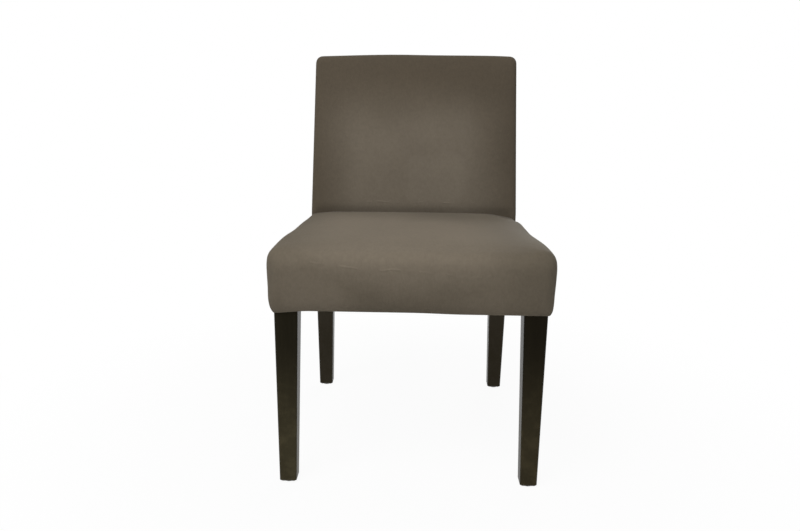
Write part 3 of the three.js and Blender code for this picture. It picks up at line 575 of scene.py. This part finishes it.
def make_suede(name, areas, shaded_pile, creases=(), crease_shade_range=None, shaded_spots=(), lit_pile=LIT_RUBBED_PILE):
    """Suede with painted light in each lit area, which also stands for rubbing of the pile, faint
    lines where it has been sat into folds, with a painted highlight on them, and painted shade in
    the shaded spots and along the crease between two depths."""
    finish, tree, shader, place = new_finish(name)
    light_share = 0.0
    # painted light: each area lifts the colour towards the lit pile
    for strength, spot in areas:
        area = use(tree, LIGHT_AND_SHADE_AREA, {"Place": place, **spot})
        light_share = sum_of(tree, "MAXIMUM", light_share, times(tree, area["Light and shade"], strength))
    nap = use(tree, SUEDE_NAP, {"Place": place, "Lit rubbed pile": lit_pile, "Shaded deep pile": shaded_pile,
                                "Light and shade": light_share, "Contrast": PILE_CONTRAST})
    colour = nap["Colour"]
    feed(tree, shader, Roughness=nap["Roughness"], Specular_IOR_Level=0.15,
         Sheen_Weight=0.12, Sheen_Roughness=0.5, Sheen_Tint=(0.75, 0.7, 0.6, 1))
    roughen(tree, shader, nap["Height"], 0.35, PILE_RELIEF)
    # painted shade along the crease, growing between the two depths of its range, and starting
    # further forward at the right rear corner
    if crease_shade_range:
        parts = parts_of(tree, place)
        corner = sum_of(tree, "SUBTRACT", parts["X"], CREASE_SHADE_CORNER_X)
        corner = sum_of(tree, "MAXIMUM", corner, 0.0)
        depth = sum_of(tree, "MULTIPLY_ADD", corner, 0.6, parts["Y"])
        colour = shaded(tree, colour, vary(tree, ramp(tree, depth, *crease_shade_range), 1.0, CREASE_PAINTED_SHADE))
    # painted shade: each spot darkens the colour by its strength
    for strength, spot in shaded_spots:
        area = use(tree, LIGHT_AND_SHADE_AREA, {"Place": place, **spot})
        colour = shaded(tree, colour, vary(tree, area["Light and shade"], 1.0, 1.0 - strength))
    for line in creases:
        fold = use(tree, SOFT_CREASE, {"Place": place, **line})["Fold"]
        # painted highlight along the fold; the relief below is its real shape
        colour = shaded(tree, colour, vary(tree, fold, 1.0, FOLD_HIGHLIGHT))
        roughen(tree, shader, fold, 0.5, PILE_RELIEF)
    feed(tree, shader, Base_Color=colour)
    return finish


def make_lacquered_wood(name, light, dark, foot_shading_and_dust, share, reach, shine):
    """Dark lacquer over open grain, which turns duller towards the foot and takes another colour
    there: dust with painted light on the front legs, which get lighter, and painted shade on the
    rear posts, which get darker under the chair. That colour has a share of the colour at the foot
    and ends at its reach above the floor."""
    finish, tree, shader, place = new_finish(name)
    grain = use(tree, WOOD_GRAIN, {"Place": place, "Stretch": (1.6, 1.6, 0.07), "Light": light,
                                   "Dark": dark})
    wear = use(tree, HANDLING, {"Place": place, "Reach": reach})
    # the colour at the foot: dust and painted light on the front legs, painted shade on the rear
    # posts
    dusty_and_shaded = blend_colours(tree, times(tree, wear["Dust"], share), grain["Colour"], foot_shading_and_dust)
    marks = times(tree, wear["Marks"], 0.3)
    colour = blend_colours(tree, marks, dusty_and_shaded, (0.05, 0.036, 0.022, 1))
    clean = vary(tree, grain["Streaks"], 0.24, 0.38)
    rough = sum_of(tree, "MULTIPLY_ADD", wear["Dust"], 0.06, clean)
    feed(tree, shader, Base_Color=colour, Roughness=rough, Specular_IOR_Level=shine,
         Specular_Tint=(1.0, 0.8, 0.5, 1))
    roughen(tree, shader, grain["Height"], 0.22, 0.0004)
    return finish


def make_bare_wood(name, stretch):
    finish, tree, shader, place = new_finish(name)
    grain = use(tree, WOOD_GRAIN, {"Place": place, "Stretch": stretch,
                                   "Light": (0.5, 0.34, 0.19, 1), "Dark": (0.3, 0.175, 0.08, 1)})
    rough = vary(tree, grain["Streaks"], 0.55, 0.75)
    feed(tree, shader, Base_Color=grain["Colour"], Roughness=rough, Specular_IOR_Level=0.3)
    roughen(tree, shader, grain["Height"], 0.35, 0.0006)
    return finish


def make_woven(name, threads, first, second, turned=False, depth=0.0006):
    """Woven cloth that lies flat, or stands upright where it is turned."""
    finish, tree, shader, place = new_finish(name)
    if turned:
        parts = parts_of(tree, place)
        axes = {0: parts["X"], 1: parts["Z"], 2: parts["Y"]}
        place = put(tree, "ShaderNodeCombineXYZ", axes).outputs[0]
    weave = use(tree, WEAVE, {"Place": place, "Threads": (threads,) * 3, "First thread": first,
                              "Second thread": second})
    feed(tree, shader, Base_Color=weave["Colour"], Roughness=vary(tree, weave["Slub"], 0.75, 0.95),
         Specular_IOR_Level=0.2)
    roughen(tree, shader, weave["Height"], 0.5, depth)
    return finish


def make_foam(name):
    finish, tree, shader, place = new_finish(name)
    cells = put(tree, "ShaderNodeTexVoronoi", {"Vector": place, "Scale": 620.0}).outputs["Distance"]
    ageing = noise(tree, place, 11.0, 3.0)
    colour = blend_colours(tree, ageing, (0.74, 0.66, 0.4, 1), (0.62, 0.5, 0.26, 1))
    # painted shade: darker in the middle of each cell, where the bump sinks a pore
    colour = shaded(tree, colour, vary(tree, cells, 0.7, 1.1))
    feed(tree, shader, Base_Color=colour, Roughness=vary(tree, cells, 0.98, 0.8),
         Specular_IOR_Level=0.1)
    roughen(tree, shader, cells, 0.6, 0.0008)
    return finish


def make_metal(name):
    finish, tree, shader, place = new_finish(name)
    brushed = noise(tree, place, 900.0, 3.0)
    tarnish = noise(tree, place, 130.0, 3.0)
    colour = blend_colours(tree, ramp(tree, tarnish, 0.4, 0.7), (0.55, 0.53, 0.48, 1),
                           (0.32, 0.29, 0.24, 1))
    feed(tree, shader, Base_Color=colour, Metallic=1.0, Roughness=vary(tree, brushed, 0.28, 0.5))
    roughen(tree, shader, brushed, 0.2, 0.0002)
    return finish


def make_nylon(name):
    finish, tree, shader, place = new_finish(name)
    wear = use(tree, HANDLING, {"Place": place, "Reach": 0.006})
    colour = blend_colours(tree, times(tree, wear["Dust"], 0.6), (0.014, 0.012, 0.01, 1),
                           (0.09, 0.08, 0.066, 1))
    rough = sum_of(tree, "MULTIPLY_ADD", wear["Dust"], 0.3, 0.42)
    feed(tree, shader, Base_Color=colour, Roughness=rough)
    roughen(tree, shader, noise(tree, place, 700.0, 2.0), 0.15, 0.0003)
    return finish


def spot(middle, reach, fade, skew=(0, 0, 0)):
    """An area's middle, how far it reaches each way, how softly it ends, and its slant."""
    return {"Middle": middle, "Reach": reach, "Fade": fade, "Skew": skew}


seat_suede = make_suede(
    "seat_suede",
    # painted light: a lit middle on the seat and lit patches low on its front, fading into painted
    # shade at its edges and towards the back
    areas=[
        (1.0, spot((-0.015, -0.25, 0.50), (0.255, 0.37, 0.13), (0.15, 0.18, 0.085),
                   skew=(0, 0.25, 0.05))),
        (0.5, spot((-0.18, -0.30, 0.38), (0.115, 0.10, 0.12), (0.08, 0.08, 0.07))),
        (0.25, spot((0.13, -0.30, 0.36), (0.09, 0.10, 0.08), (0.08, 0.08, 0.06)))],
    # the crease's painted shade runs between these two depths
    shaded_pile=(0.114, 0.095, 0.069, 1), lit_pile=(0.167, 0.1395, 0.1045, 1), crease_shade_range=(0.11, 0.15),
    # painted shade: a darker patch by the crease, right of the middle
    shaded_spots=[(0.13, spot((0.055, 0.04, 0.48), (0.1, 0.11, 0.2), (0.07, 0.07, 0.1)))],
    creases=[{"Level": 0.4325, "Lean": -0.06, "Wander": 0.022, "Width": 0.0035, "Half length": 0.22,
              "Nearest": -0.2}])
back_suede = make_suede(
    "back_suede",
    # painted light: a lit middle on the back, fading into painted shade towards its edges and its
    # top
    areas=[
        (0.89, spot((0, 0, 0.50), (0.252, 1.0, 0.30), (0.14, 1.0, 0.17))),
        (1.1, spot((0.05, 0, 0.55), (0.17, 1.0, 0.13), (0.13, 1.0, 0.1)))],
    shaded_pile=SHADED_DEEP_PILE,
    creases=[{"Level": 0.491, "Lean": 0.0, "Wander": 0.008, "Width": 0.003, "Half length": 0.17,
              "Nearest": 0.3}])
outside_suede = make_suede(
    "outside_back_suede",
    # lighter in the middle and darker towards its edges, as on the back
    areas=[(0.9, spot((0, 0, 0.56), (0.26, 1.0, 0.27), (0.2, 1.0, 0.2)))],
    shaded_pile=SHADED_DEEP_PILE)
# painted light and shade: lit and shaded copies of one lacquer, the left front leg lighter, the
# right front leg darker, and the rear posts lighter to make up for the chair's shadow
left_lit_lacquer = make_lacquered_wood(
    "front_left_lit_lacquer", light=(0.0127, 0.0114, 0.0069, 1), dark=(0.0068, 0.0061, 0.0036, 1),
    # dust and painted light: lighter towards the foot
    foot_shading_and_dust=(0.096, 0.081, 0.045, 1), share=0.53, reach=0.31, shine=0.083)
right_shaded_lacquer = make_lacquered_wood(
    "front_right_shaded_lacquer", light=(0.0063, 0.0055, 0.0034, 1), dark=(0.0033, 0.0029, 0.0018, 1),
    # dust and painted light: lighter towards the foot
    foot_shading_and_dust=(0.0745, 0.0615, 0.033, 1), share=0.53, reach=0.31, shine=0.083)
rear_lit_lacquer = make_lacquered_wood(
    "rear_post_lit_lacquer", light=(0.027, 0.0245, 0.0205, 1), dark=(0.018, 0.0163, 0.0137, 1),
    # painted shade: darker towards the foot, under the chair
    foot_shading_and_dust=(0.004, 0.0038, 0.002, 1), share=0.93, reach=0.33, shine=0.235)
bare_wood_across = make_bare_wood("beech_across", (0.07, 1.6, 1.6))
bare_wood_along = make_bare_wood("beech_along", (1.6, 0.07, 1.6))
JUTE = 420, (0.42, 0.29, 0.14, 1), (0.28, 0.18, 0.08, 1)  # threads per metre, colours
jute_flat = make_woven("jute_webbing_seat", *JUTE)
jute_upright = make_woven("jute_webbing_back", *JUTE, turned=True)
black_lining = make_woven("black_lining", 900, (0.016, 0.016, 0.017, 1), (0.008, 0.008, 0.009, 1),
                          depth=0.0003)
foam = make_foam("upholstery_foam")
steel = make_metal("zinc_plated_steel")
nylon = make_nylon("glide_nylon")


# Seat: fabric over foam, tight round the frame, with a crowned top

SEAT_INSETS = [0, 0.0012, 0.003, 0.0055, 0.009, 0.0135, 0.019, 0.0245, 0.03]
SEAT_ROWS = np.array([0, 0.0015, 0.0035, 0.0065, 0.0105, 0.016, 0.023, 0.033, 0.045, 0.058, 0.071,
                      WIDEST_RISE])
SEAT_CORNER = 0.03        # radius of a front corner, seen from above
HEM_PULL = 1.13           # times DRAW_IN, for the hem itself
HEM_TURN = 0.020          # how far the cover is turned in below
SEAT_RIM = 0.017, 0.032   # reach of its rounded edge at the sides and the front
LEG_ROOM = 0.003, 0.0015  # beside and behind a front leg, up to the cover's cut edge
LEG_LIP = 0.0012, 0.003   # of cover below, outside and in front of the leg

# Lumps and hollows at the seat's edge: rise, then middle and reach across, then the same along
SEAT_LUMPS = [(-0.005, 0.25, 0.06, -0.045, 0.12),
              (0.003, 0.245, 0.05, -0.215, 0.09),
              (0.003, -0.255, 0.05, -0.17, 0.14)]


def seat_half(y):
    return mix(SEAT_HALF, CREASE_HALF, (y - SEAT_FRONT_Y) / (CREASE_Y - SEAT_FRONT_Y))


def seat_crown(x, y):
    across = np.clip(np.abs(x) / seat_half(y), 0, 1)
    along = np.clip((y - SEAT_FRONT_Y) / (CREASE_Y - SEAT_FRONT_Y), 0, 1)
    rise = np.sin(math.pi / 2 * np.clip(along / 0.5, 0, 1))
    dip = 0.85 * np.clip((along - 0.5) / 0.5, 0, 1) ** 2
    return SEAT_CROWN * (1 - across ** 2.4) * (rise - dip)


def make_seat_cover():
    length = CREASE_Y - GAP - SEAT_FRONT_Y
    hem_draw = DRAW_IN * HEM_PULL
    # lines that come to lie beside and behind the front legs once the hem is drawn in
    cut_a = (LEG_LOW.x - LEG_ROOM[0]) * SEAT_HALF / seat_half(LEG_HIGH.y)
    cut_a = cut_a / (1 - hem_draw / SEAT_HALF)
    cut_b = (LEG_HIGH.y + LEG_ROOM[1] - SEAT_FRONT_Y - hem_draw) * length / (length - hem_draw)
    across = edge_lines(2 * SEAT_HALF, SEAT_INSETS, PITCH) - SEAT_HALF
    across = np.sort(np.append(across, (-cut_a, cut_a)))
    along = np.sort(np.append(edge_lines(length, SEAT_INSETS, PITCH), cut_b))
    block = Block(across, along, SEAT_ROWS)
    for name in ("near", "far", "left", "right", "cap"):
        block.side(name)

    def turned_in(a, b, _):
        side = SEAT_HALF - abs(a)
        if abs(a) > cut_a and b < cut_b:
            return side < LEG_LIP[0] or b < LEG_LIP[1]
        return min(side, b, length - b) < HEM_TURN

    block.side("low", turned_in)
    a, b, c, row = block.places()
    climb = c / SEAT_ROWS[-1]
    draw = DRAW_IN * np.interp(climb, [0, 0.02, 0.055, 0.12, 0.226, 0.44, 0.65, 1],
                               [HEM_PULL, 1.0, 0.8, 0.6, 0.38, 0.2, 0.1, 0])
    radius = SEAT_CORNER * np.interp(climb, [0, 0.05, 0.2, 0.5, 1], [0.2, 0.35, 0.65, 0.85, 1])
    plan_a, plan_b, inset = rounded_corners(a, b, SEAT_HALF, radius)
    y = SEAT_FRONT_Y + draw + plan_b * (length - draw) / length
    x = plan_a * (1 - draw / SEAT_HALF) * seat_half(y) / SEAT_HALF
    front_share = np.clip(1 - b / np.maximum(SEAT_HALF - np.abs(a) + b, 1e-6), 0, 1)
    rim = round_off(inset, mix(*SEAT_RIM, front_share))
    roll = mix(0.8, 1.0, round_off(length - b, 0.006))  # down into the crease
    cap_z = WIDEST_Z + (SHOULDER_RISE + seat_crown(x, y)) * rim * roll
    top_row = len(SEAT_ROWS) - 1
    z = np.where(row == top_row, cap_z, HEM_Z + c)
    held = hold((row < 3) | (b > length - 0.004), row < top_row, inset, reach=0.035)
    return new_piece("seat_upholstery", np.stack([x, y, z], axis=1), block.faces), held


def shape_seat(points):
    """The real seat's unevenness: rear corners that fall away, lumpy sides and a hanging hem."""
    x, y, z = points.T
    lowness = 1 - np.clip((z - HEM_Z) / (WIDEST_Z - HEM_Z), 0, 1)
    over = ease((z - WIDEST_Z) / 0.02)
    right_fall = 0.0012 * ease((y + 0.02) / 0.06) + 0.0075 * ease((y - 0.04) / 0.1)
    left_fall = 0.0022 * ease((y + 0.16) / 0.11) + 0.002 * ease((y - 0.02) / 0.08)
    z = z - right_fall * over * ease((x - 0.17) / 0.07)
    z = z - left_fall * over * ease((-x - 0.18) / 0.06)
    z = z - 0.0048 * bump((x + 0.255) / 0.07) * bump((y - SEAT_FRONT_Y) / 0.1) * lowness ** 2
    for rise, middle_x, reach_x, middle_y, reach_y in SEAT_LUMPS:
        z = z + rise * over * bump((x - middle_x) / reach_x) * bump((y - middle_y) / reach_y)
    z = z - 0.0018 * lowness ** 2 * ease(x / 0.1) * ease((0.1 - y) / 0.1)
    x = x * (1 + 0.005 * ease((z - HEM_Z) / 0.03))
    x = x + 0.0036 * bump((z - HEM_Z) / 0.035) * ease((x - 0.2) / 0.04)
    x = x - 0.0026 * bump((z - HEM_Z - 0.01) / 0.035) * ease((-x - 0.2) / 0.04)
    return np.stack([x, y, z], axis=1)


seat_cover, seat_held = make_seat_cover()
seat_form = dress(seat_cover, seat_held, shape_seat, seat_suede, "seat_cover")


# Back: one padded form over the posts, raked with them

BACK_INSETS = [0, 0.0015, 0.0035, 0.006, 0.009, 0.0125, 0.0165]
BACK_ROWS = np.array([0, 0.03, 0.08, 0.2, 0.35, 0.5, 0.65, 0.76])   # shares of its depth
BACK_CORNER = 0.016       # radius of a top corner, seen from the front
BACK_RIM = 0.015, 0.0135  # reach of its rounded edge at the sides and the top
FOOT_TURN = 0.009         # how far its sides are turned in below
REAR_TURN = 0.024         # and its sides and top behind the posts
REAR_LIP = 0.006          # how far its foot is turned up behind them


def post_front(z):
    run = np.clip(z - BEND_Z, 0, None)
    bent = np.where(run < BEND_RUN, run ** 2 / (2 * BEND_RUN), run - BEND_RUN / 2)
    return POST_FRONT_Y + RAKE * bent


def back_front(z):
    return np.maximum(POST_FRONT_Y - BACK_PAD + RAKE * (z - BEND_Z - BEND_RUN / 2), CREASE_Y)


def back_rear(z):
    return post_front(z) + mix(*POST_DEPTHS, np.clip((z - BEND_Z) / POST_RISE, 0, 1)) + PANEL_SPACE


def make_back_cover():
    height = BACK_TOP_Z - HEM_Z
    across = edge_lines(2 * CREASE_HALF, BACK_INSETS, PITCH) - CREASE_HALF
    along = edge_lines(height, BACK_INSETS, PITCH)
    block = Block(across, along, BACK_ROWS)
    for name in ("near", "left", "right", "cap"):
        block.side(name)
    block.side("far", lambda a, b, c: CREASE_HALF - abs(a) < FOOT_TURN)
    block.side("low", lambda a, b, c: (min(CREASE_HALF - abs(a), b) < REAR_TURN
                                       or height - b < REAR_LIP))
    a, b, c, row = block.places()
    plan_a, plan_b, inset = rounded_corners(a, b, CREASE_HALF, BACK_CORNER)
    z = BACK_TOP_Z - plan_b
    above = np.clip((z - CREASE_Z) / (BACK_TOP_Z - CREASE_Z), 0, 1)
    x = -plan_a * (CREASE_HALF - BACK_LEAN_IN * above) / CREASE_HALF
    middle = 1 - (x / CREASE_HALF) ** 2
    front, rear = back_front(z), back_rear(z)
    wall = rear + (front - rear) * c
    top_share = np.clip(1 - b / np.maximum(CREASE_HALF - np.abs(a) + b, 1e-6), 0, 1)
    rim = round_off(inset, mix(*BACK_RIM, top_share))
    swell = BACK_SWELL * np.sin(math.pi * above) * middle
    front_row = len(BACK_ROWS) - 1
    y = np.where(row == front_row, mix(wall, front - swell, rim), wall)
    z = z + BACK_CROWN * above ** 4 * middle
    held = hold((row < 2) | (z < CREASE_Z - 0.006), row < front_row, inset, reach=0.025)
    return new_piece("back_upholstery", np.stack([x, y, z], axis=1), block.faces), held


def shape_back(points):
    """The real back's unevenness: a foot pinched in at the crease and a right corner that stands
    higher."""
    x, y, z = points.T
    forward = np.clip((back_rear(z) - y) / 0.05, 0, 1)
    inside = ease((CREASE_HALF - np.abs(x)) / 0.02)
    pinch = ease((0.483 - z) / 0.021) * ease((z - 0.425) / 0.03) * inside
    y = y + 0.006 * pinch * forward
    z = z + ease((z - 0.70) / 0.12) * (0.004 * ease(x / 0.2) + 0.0022 * bump((x + 0.04) / 0.2))
    x = x + 0.0024 * ease((z - 0.40) / 0.05)
    return np.stack([x, y, z], axis=1)


back_cover, back_held = make_back_cover()
back_form = dress(back_cover, back_held, shape_back, back_suede, "back_cover")


# Outside back: fabric stretched flat behind the posts, with its edges stitched down

PANEL_CLOTH = 0.0012  # thickness of its suede
STITCH_DIP = 0.0012   # how far its edges are drawn down
STITCH_REACH = 0.006  # and how far in from the edge it shows


def make_outside_back():
    panel = form_of(frame["nodes"]["outside_back_panel"])
    width_lines = edge_lines(2.0, [0, 0.006, 0.014, 0.026], 0.04) - 1
    rows = edge_lines(PANEL_HIGH.z - PANEL_LOW.z, [0, 0.0015, 0.0035, 0.006], 0.012)
    points, faces = [], []
    for row in rows:
        z = PANEL_LOW.z + row
        above = max(0.0, (z - CREASE_Z) / (BACK_TOP_Z - CREASE_Z))
        half = PANEL_HIGH.x - BACK_LEAN_IN * above
        level = min(max(z, PANEL_LOW.z + 0.001), PANEL_HIGH.z - 0.001)  # clear of its edges
        hit = panel.ray_cast(Vector((0, 1, level)), Vector((0, -1, 0)))
        for share in width_lines:
            edge = min((1 - abs(share)) * half, row, PANEL_HIGH.z - PANEL_LOW.z - row)
            puff = STITCH_DIP * float(round_off(edge, STITCH_REACH)) - STITCH_DIP
            points.append((share * half, hit[0].y + puff, z))
    count = len(width_lines)
    for r in range(len(rows) - 1):
        for n in range(count - 1):
            first = r * count + n
            faces.append([first + 1, first, first + count, first + count + 1])
    return new_piece("outside_back_cloth", points, faces)


outside_back = make_outside_back()
give_thickness(outside_back, PANEL_CLOTH)
finish_piece(outside_back, "suede", outside_suede, "outside_back_panel")


# Foam, webbing and the lining underneath

FOAM_VOXEL = 0.005
FOAM_CLEARANCE = 0.0026  # between the foam and its cover's outer surface
STRAP_EDGE = 0.0004


def soften(piece, voxel):
    """Turns a sharp-edged copy of a form into a soft one."""
    modify(piece, "REMESH", mode="VOXEL", voxel_size=voxel, use_smooth_shade=True)
    modify(piece, "SMOOTH", factor=0.5, iterations=3)
    return freeze(piece)


def keep_inside(piece, cover, clearance):
    """Presses a pad's points in until they lie under its cover."""
    points = points_of(piece)
    for n, point in enumerate(points):
        place, normal = cover.find_nearest(Vector(point))[:2]
        if (Vector(point) - place).dot(normal) > -clearance:
            points[n] = place - normal * clearance
    set_points(piece, points)


for node, cover in (("seat_foam", seat_form), ("back_foam", back_form)):
    pad = soften(copy_of(node, node.replace("_foam", "_foam_pad")), FOAM_VOXEL)
    keep_inside(pad, cover, FOAM_CLEARANCE)
    finish_piece(pad, "foam", foam, node)

straps = [name for name in frame["nodes"] if "_web_" in name]
for node in sorted(straps):
    strap = copy_of(node, node.replace("_web_", "_strap_"))
    modify(strap, "BEVEL", width=STRAP_EDGE, segments=2, limit_method="ANGLE")
    freeze(strap)
    finish_piece(strap, "webbing", jute_flat if node.startswith("seat") else jute_upright, node)


LINING_FORM = form_of(frame["nodes"]["dust_cover"])
LINING_CLOTH = 0.0006               # its thickness
LINING_SAG = 0.0035
LINING_EAR = 0.014                  # how much wider it is in front of each rear post
HALF_COLUMNS, MIDDLE_ROWS = 24, 56  # of the lining between its notches
NOTCH_COLUMNS, NOTCH_ROWS = 4, 6    # in a notch's width and length
HAIR = 0.0005                       # keeps a ray clear of an edge


def lining_half(y):
    """Half the lining's width at a depth."""
    level = (LINING_LOW.z + LINING_HIGH.z) / 2
    return LINING_FORM.ray_cast(Vector((1, y, level)), Vector((-1, 0, 0)))[0].x


def notch_end(outer, inner):
    """Where the lining widens past the notch for a leg, between a depth in the notch and one
    past it."""
    narrow = lining_half(outer)
    for _ in range(20):
        middle = (outer + inner) / 2
        if lining_half(middle) < narrow + 0.005:  # still in the notch
            outer = middle
        else:
            inner = middle
    return inner


def make_lining():
    """Sagging cloth, cut in round the legs, with an ear in front of each rear post."""
    front, rear = LINING_LOW.y, LINING_HIGH.y
    ends = notch_end(front + HAIR, front + 0.1), notch_end(rear - HAIR, rear - 0.1)
    narrow = lining_half(front + HAIR), lining_half(rear - HAIR)
    rows = np.concatenate([np.linspace(front, ends[0], NOTCH_ROWS)[:-1],
                           np.linspace(*ends, MIDDLE_ROWS),
                           np.linspace(ends[1], rear, NOTCH_ROWS)[1:]])
    points, faces, index = [], [], {}

    def vertex(column, row):
        """Columns count outwards from the middle, to both sides."""
        if (column, row) not in index:
            y = rows[row]
            inner = np.interp(y, ends, narrow)
            outer = lining_half(min(max(y, ends[0] + HAIR), ends[1] - HAIR))
            outer = outer + LINING_EAR * ease((y - CREASE_Y) / 0.004)
            past = max(abs(column) - HALF_COLUMNS, 0)
            side = 1 if column > 0 else -1
            x = inner * column / HALF_COLUMNS
            if past:
                x = side * mix(inner, outer, past / NOTCH_COLUMNS)
            depth_share = math.sin(math.pi * (y - front) / (rear - front))
            sag = math.cos(math.pi / 2 * x / LINING_HIGH.x) * depth_share
            index[(column, row)] = len(points)
            points.append((x, y, LINING_LOW.z - LINING_SAG * max(sag, 0)))
        return index[(column, row)]

    for row in range(len(rows) - 1):
        wide = NOTCH_ROWS - 1 <= row < len(rows) - NOTCH_ROWS
        last = HALF_COLUMNS + (NOTCH_COLUMNS if wide else 0)
        for column in range(-last, last):
            corners = ((column, row), (column, row + 1), (column + 1, row + 1), (column + 1, row))
            faces.append([vertex(*corner) for corner in corners])
    return new_piece("lining_cloth", points, faces)


lining = make_lining()
modify(lining, "SOLIDIFY", thickness=LINING_CLOTH, offset=-1)
finish_piece(lining, "lining", black_lining, "dust_cover")


def make_staples():
    """Wire staples along the rails that hold the lining up, with rounded shoulders."""
    front, rear = LINING_LOW.y, LINING_HIGH.y
    inset, crown, wire, leg, shoulder = 0.007, 0.0095, 0.0006, 0.003, 0.0004
    across_reach, along_inset, per_side = 0.17, 0.075, 8
    spots = [(x, y, 0.0) for y in (front + inset, rear - inset)
             for x in np.linspace(-across_reach, across_reach, per_side)]
    for y in np.linspace(front + along_inset, rear - along_inset, per_side):
        spots += [(side * (lining_half(y) - inset), y, math.pi / 2) for side in (-1, 1)]
    half = crown / 2
    path = [(-half, leg), (-half, shoulder), (-half + shoulder, 0), (half - shoulder, 0),
            (half, shoulder), (half, leg)]
    points, faces = [], []
    for n, (x, y, turn) in enumerate(spots):
        turn += 0.12 * math.sin(7.3 * n)  # none is shot quite straight
        across, start = Vector((math.cos(turn), math.sin(turn), 0)), len(points)
        beside = Vector((-across.y, across.x, 0))
        for k, (run, rise) in enumerate(path):
            out = Vector((0, 0, -1)) if 0 < k < len(path) - 1 else across * (-1 if k == 0 else 1)
            middle = Vector((x, y, LINING_LOW.z - wire)) + across * run + Vector((0, 0, rise))
            for share in range(6):
                angle = math.pi / 3 * share
                ring = math.cos(angle) * beside + math.sin(angle) * out
                points.append(middle + wire / 2 * ring)
        for k in range(len(path) - 1):
            for share in range(6):
                a, b = start + 6 * k + share, start + 6 * k + (share + 1) % 6
                faces.append((a, b, b + 6, a + 6))
    return new_piece("lining_staples", points, faces)


staples = make_staples()
finish_piece(staples, "screws", steel)


# Better finishes for the frame nodes that keep their own form

FINISHES = {"screws": steel, "glides": nylon}
# the front legs take the lit and the shaded copy of the lacquer
FRONT_LEGS = {"front_leg_left": left_lit_lacquer, "front_leg_right": right_shaded_lacquer}
for part in frame["record"]["subparts"]:
    solid = frame["nodes"][part["node"]]
    if part["material_slot"] == "bare_wood":
        finish = bare_wood_along if "side_rail" in part["node"] else bare_wood_across
    elif part["material_slot"] == "lacquered_wood":
        finish = FRONT_LEGS.get(part["node"], rear_lit_lacquer)
    else:
        finish = FINISHES.get(part["material_slot"])
    if finish:
        paint(solid, finish)


# Studio. The camera stands where the photograph was taken from.

CAMERA_PLACE = (0.0023, -1.4967, 0.7378)
CAMERA_TURNS = 13.60, -1.06, 0.69  # degrees downwards, to the right and round its own axis
SENSOR_WIDTH = 36                  # mm
FOCAL_PIXELS, IMAGE_WIDTH = 703.1, 800
WORLD_LEVEL = 0.22                 # strength of the white world as light on the chair
FLOOR_WHITE = 0.95                 # how much of the floor by the chair is plain white


def make_camera():
    pitch, yaw, roll = (math.radians(v) for v in CAMERA_TURNS)
    forward = Vector((math.sin(yaw) * math.cos(pitch), math.cos(yaw) * math.cos(pitch),
                      -math.sin(pitch)))
    level = Vector((math.cos(yaw), -math.sin(yaw), 0))
    upright = level.cross(forward)
    right = math.cos(roll) * level + math.sin(roll) * upright
    up = math.cos(roll) * upright - math.sin(roll) * level
    data = bpy.data.cameras.new("studio_camera")
    data.sensor_width = SENSOR_WIDTH
    data.lens = FOCAL_PIXELS / IMAGE_WIDTH * SENSOR_WIDTH
    turn = Matrix((right, up, -forward)).transposed().to_4x4()
    scene.camera = add_object("studio_camera", data)
    scene.camera.matrix_world = Matrix.Translation(CAMERA_PLACE) @ turn


def make_lamp(name, place, aim, size, power):
    data = bpy.data.lights.new(name, "AREA")
    data.shape, data.size, data.energy = "DISK", size, power
    turn = (Vector(aim) - Vector(place)).to_track_quat("-Z", "Y").to_matrix().to_4x4()
    add_object(name, data).matrix_world = Matrix.Translation(place) @ turn


def seen_directly(tree):
    """1 for what the eye sees, also in gloss or through glass, and 0 for light on the chair."""
    path = put(tree, "ShaderNodeLightPath").outputs
    seen = sum_of(tree, "MAXIMUM", path["Is Camera Ray"], path["Is Glossy Ray"])
    return sum_of(tree, "MAXIMUM", seen, path["Is Transmission Ray"])


def make_world():
    world = bpy.data.worlds.new("studio")
    scene.world = world
    world.use_nodes = True
    tree = world.node_tree
    background = next(node for node in tree.nodes if node.type == "BACKGROUND")
    background.inputs["Color"].default_value = (1, 1, 1, 1)
    strength = vary(tree, seen_directly(tree), WORLD_LEVEL, 1.0)
    tree.links.new(strength, background.inputs["Strength"])


def make_floor():
    """Matt, so that it keeps the chair's shadow, under a white that it has by itself."""
    half = 12
    corners = [(-half, -half, 0), (half, -half, 0), (half, half, 0), (-half, half, 0)]
    floor = new_piece("studio_floor", corners, [(0, 1, 2, 3)])
    finish = bpy.data.materials.new("pale_floor")
    finish.use_nodes = True
    tree = finish.node_tree
    tree.nodes.clear()
    matt = put(tree, "ShaderNodeBsdfDiffuse", {"Color": (0.7, 0.7, 0.7, 1)})
    white = put(tree, "ShaderNodeEmission", {"Color": (1, 1, 1, 1), "Strength": 1.0})
    place = put(tree, "ShaderNodeTexCoord").outputs["Object"]
    away = put(tree, "ShaderNodeVectorMath", {0: place}, operation="LENGTH").outputs["Value"]
    whiteness = vary(tree, ramp(tree, away, 0.3, 1.1), FLOOR_WHITE, 1.0)
    share = times(tree, seen_directly(tree), whiteness)
    both = put(tree, "ShaderNodeMixShader", {0: share, 1: matt.outputs[0], 2: white.outputs[0]})
    result = put(tree, "ShaderNodeOutputMaterial")
    tree.links.new(both.outputs[0], result.inputs["Surface"])
    paint(floor, finish)


make_camera()
make_world()
make_floor()
make_lamp("key_lamp", (-0.7, -1.15, 2.3), (0, 0, 0.45), size=1.4, power=37)
make_lamp("fill_lamp", (0.5, -2.3, 1.1), (0, 0, 0.45), size=1.2, power=11)
make_lamp("rear_lamp", (0.6, 2.3, 1.15), (0, 0, 0.5), size=1.6, power=28)

scene.view_settings.view_transform = "Standard"
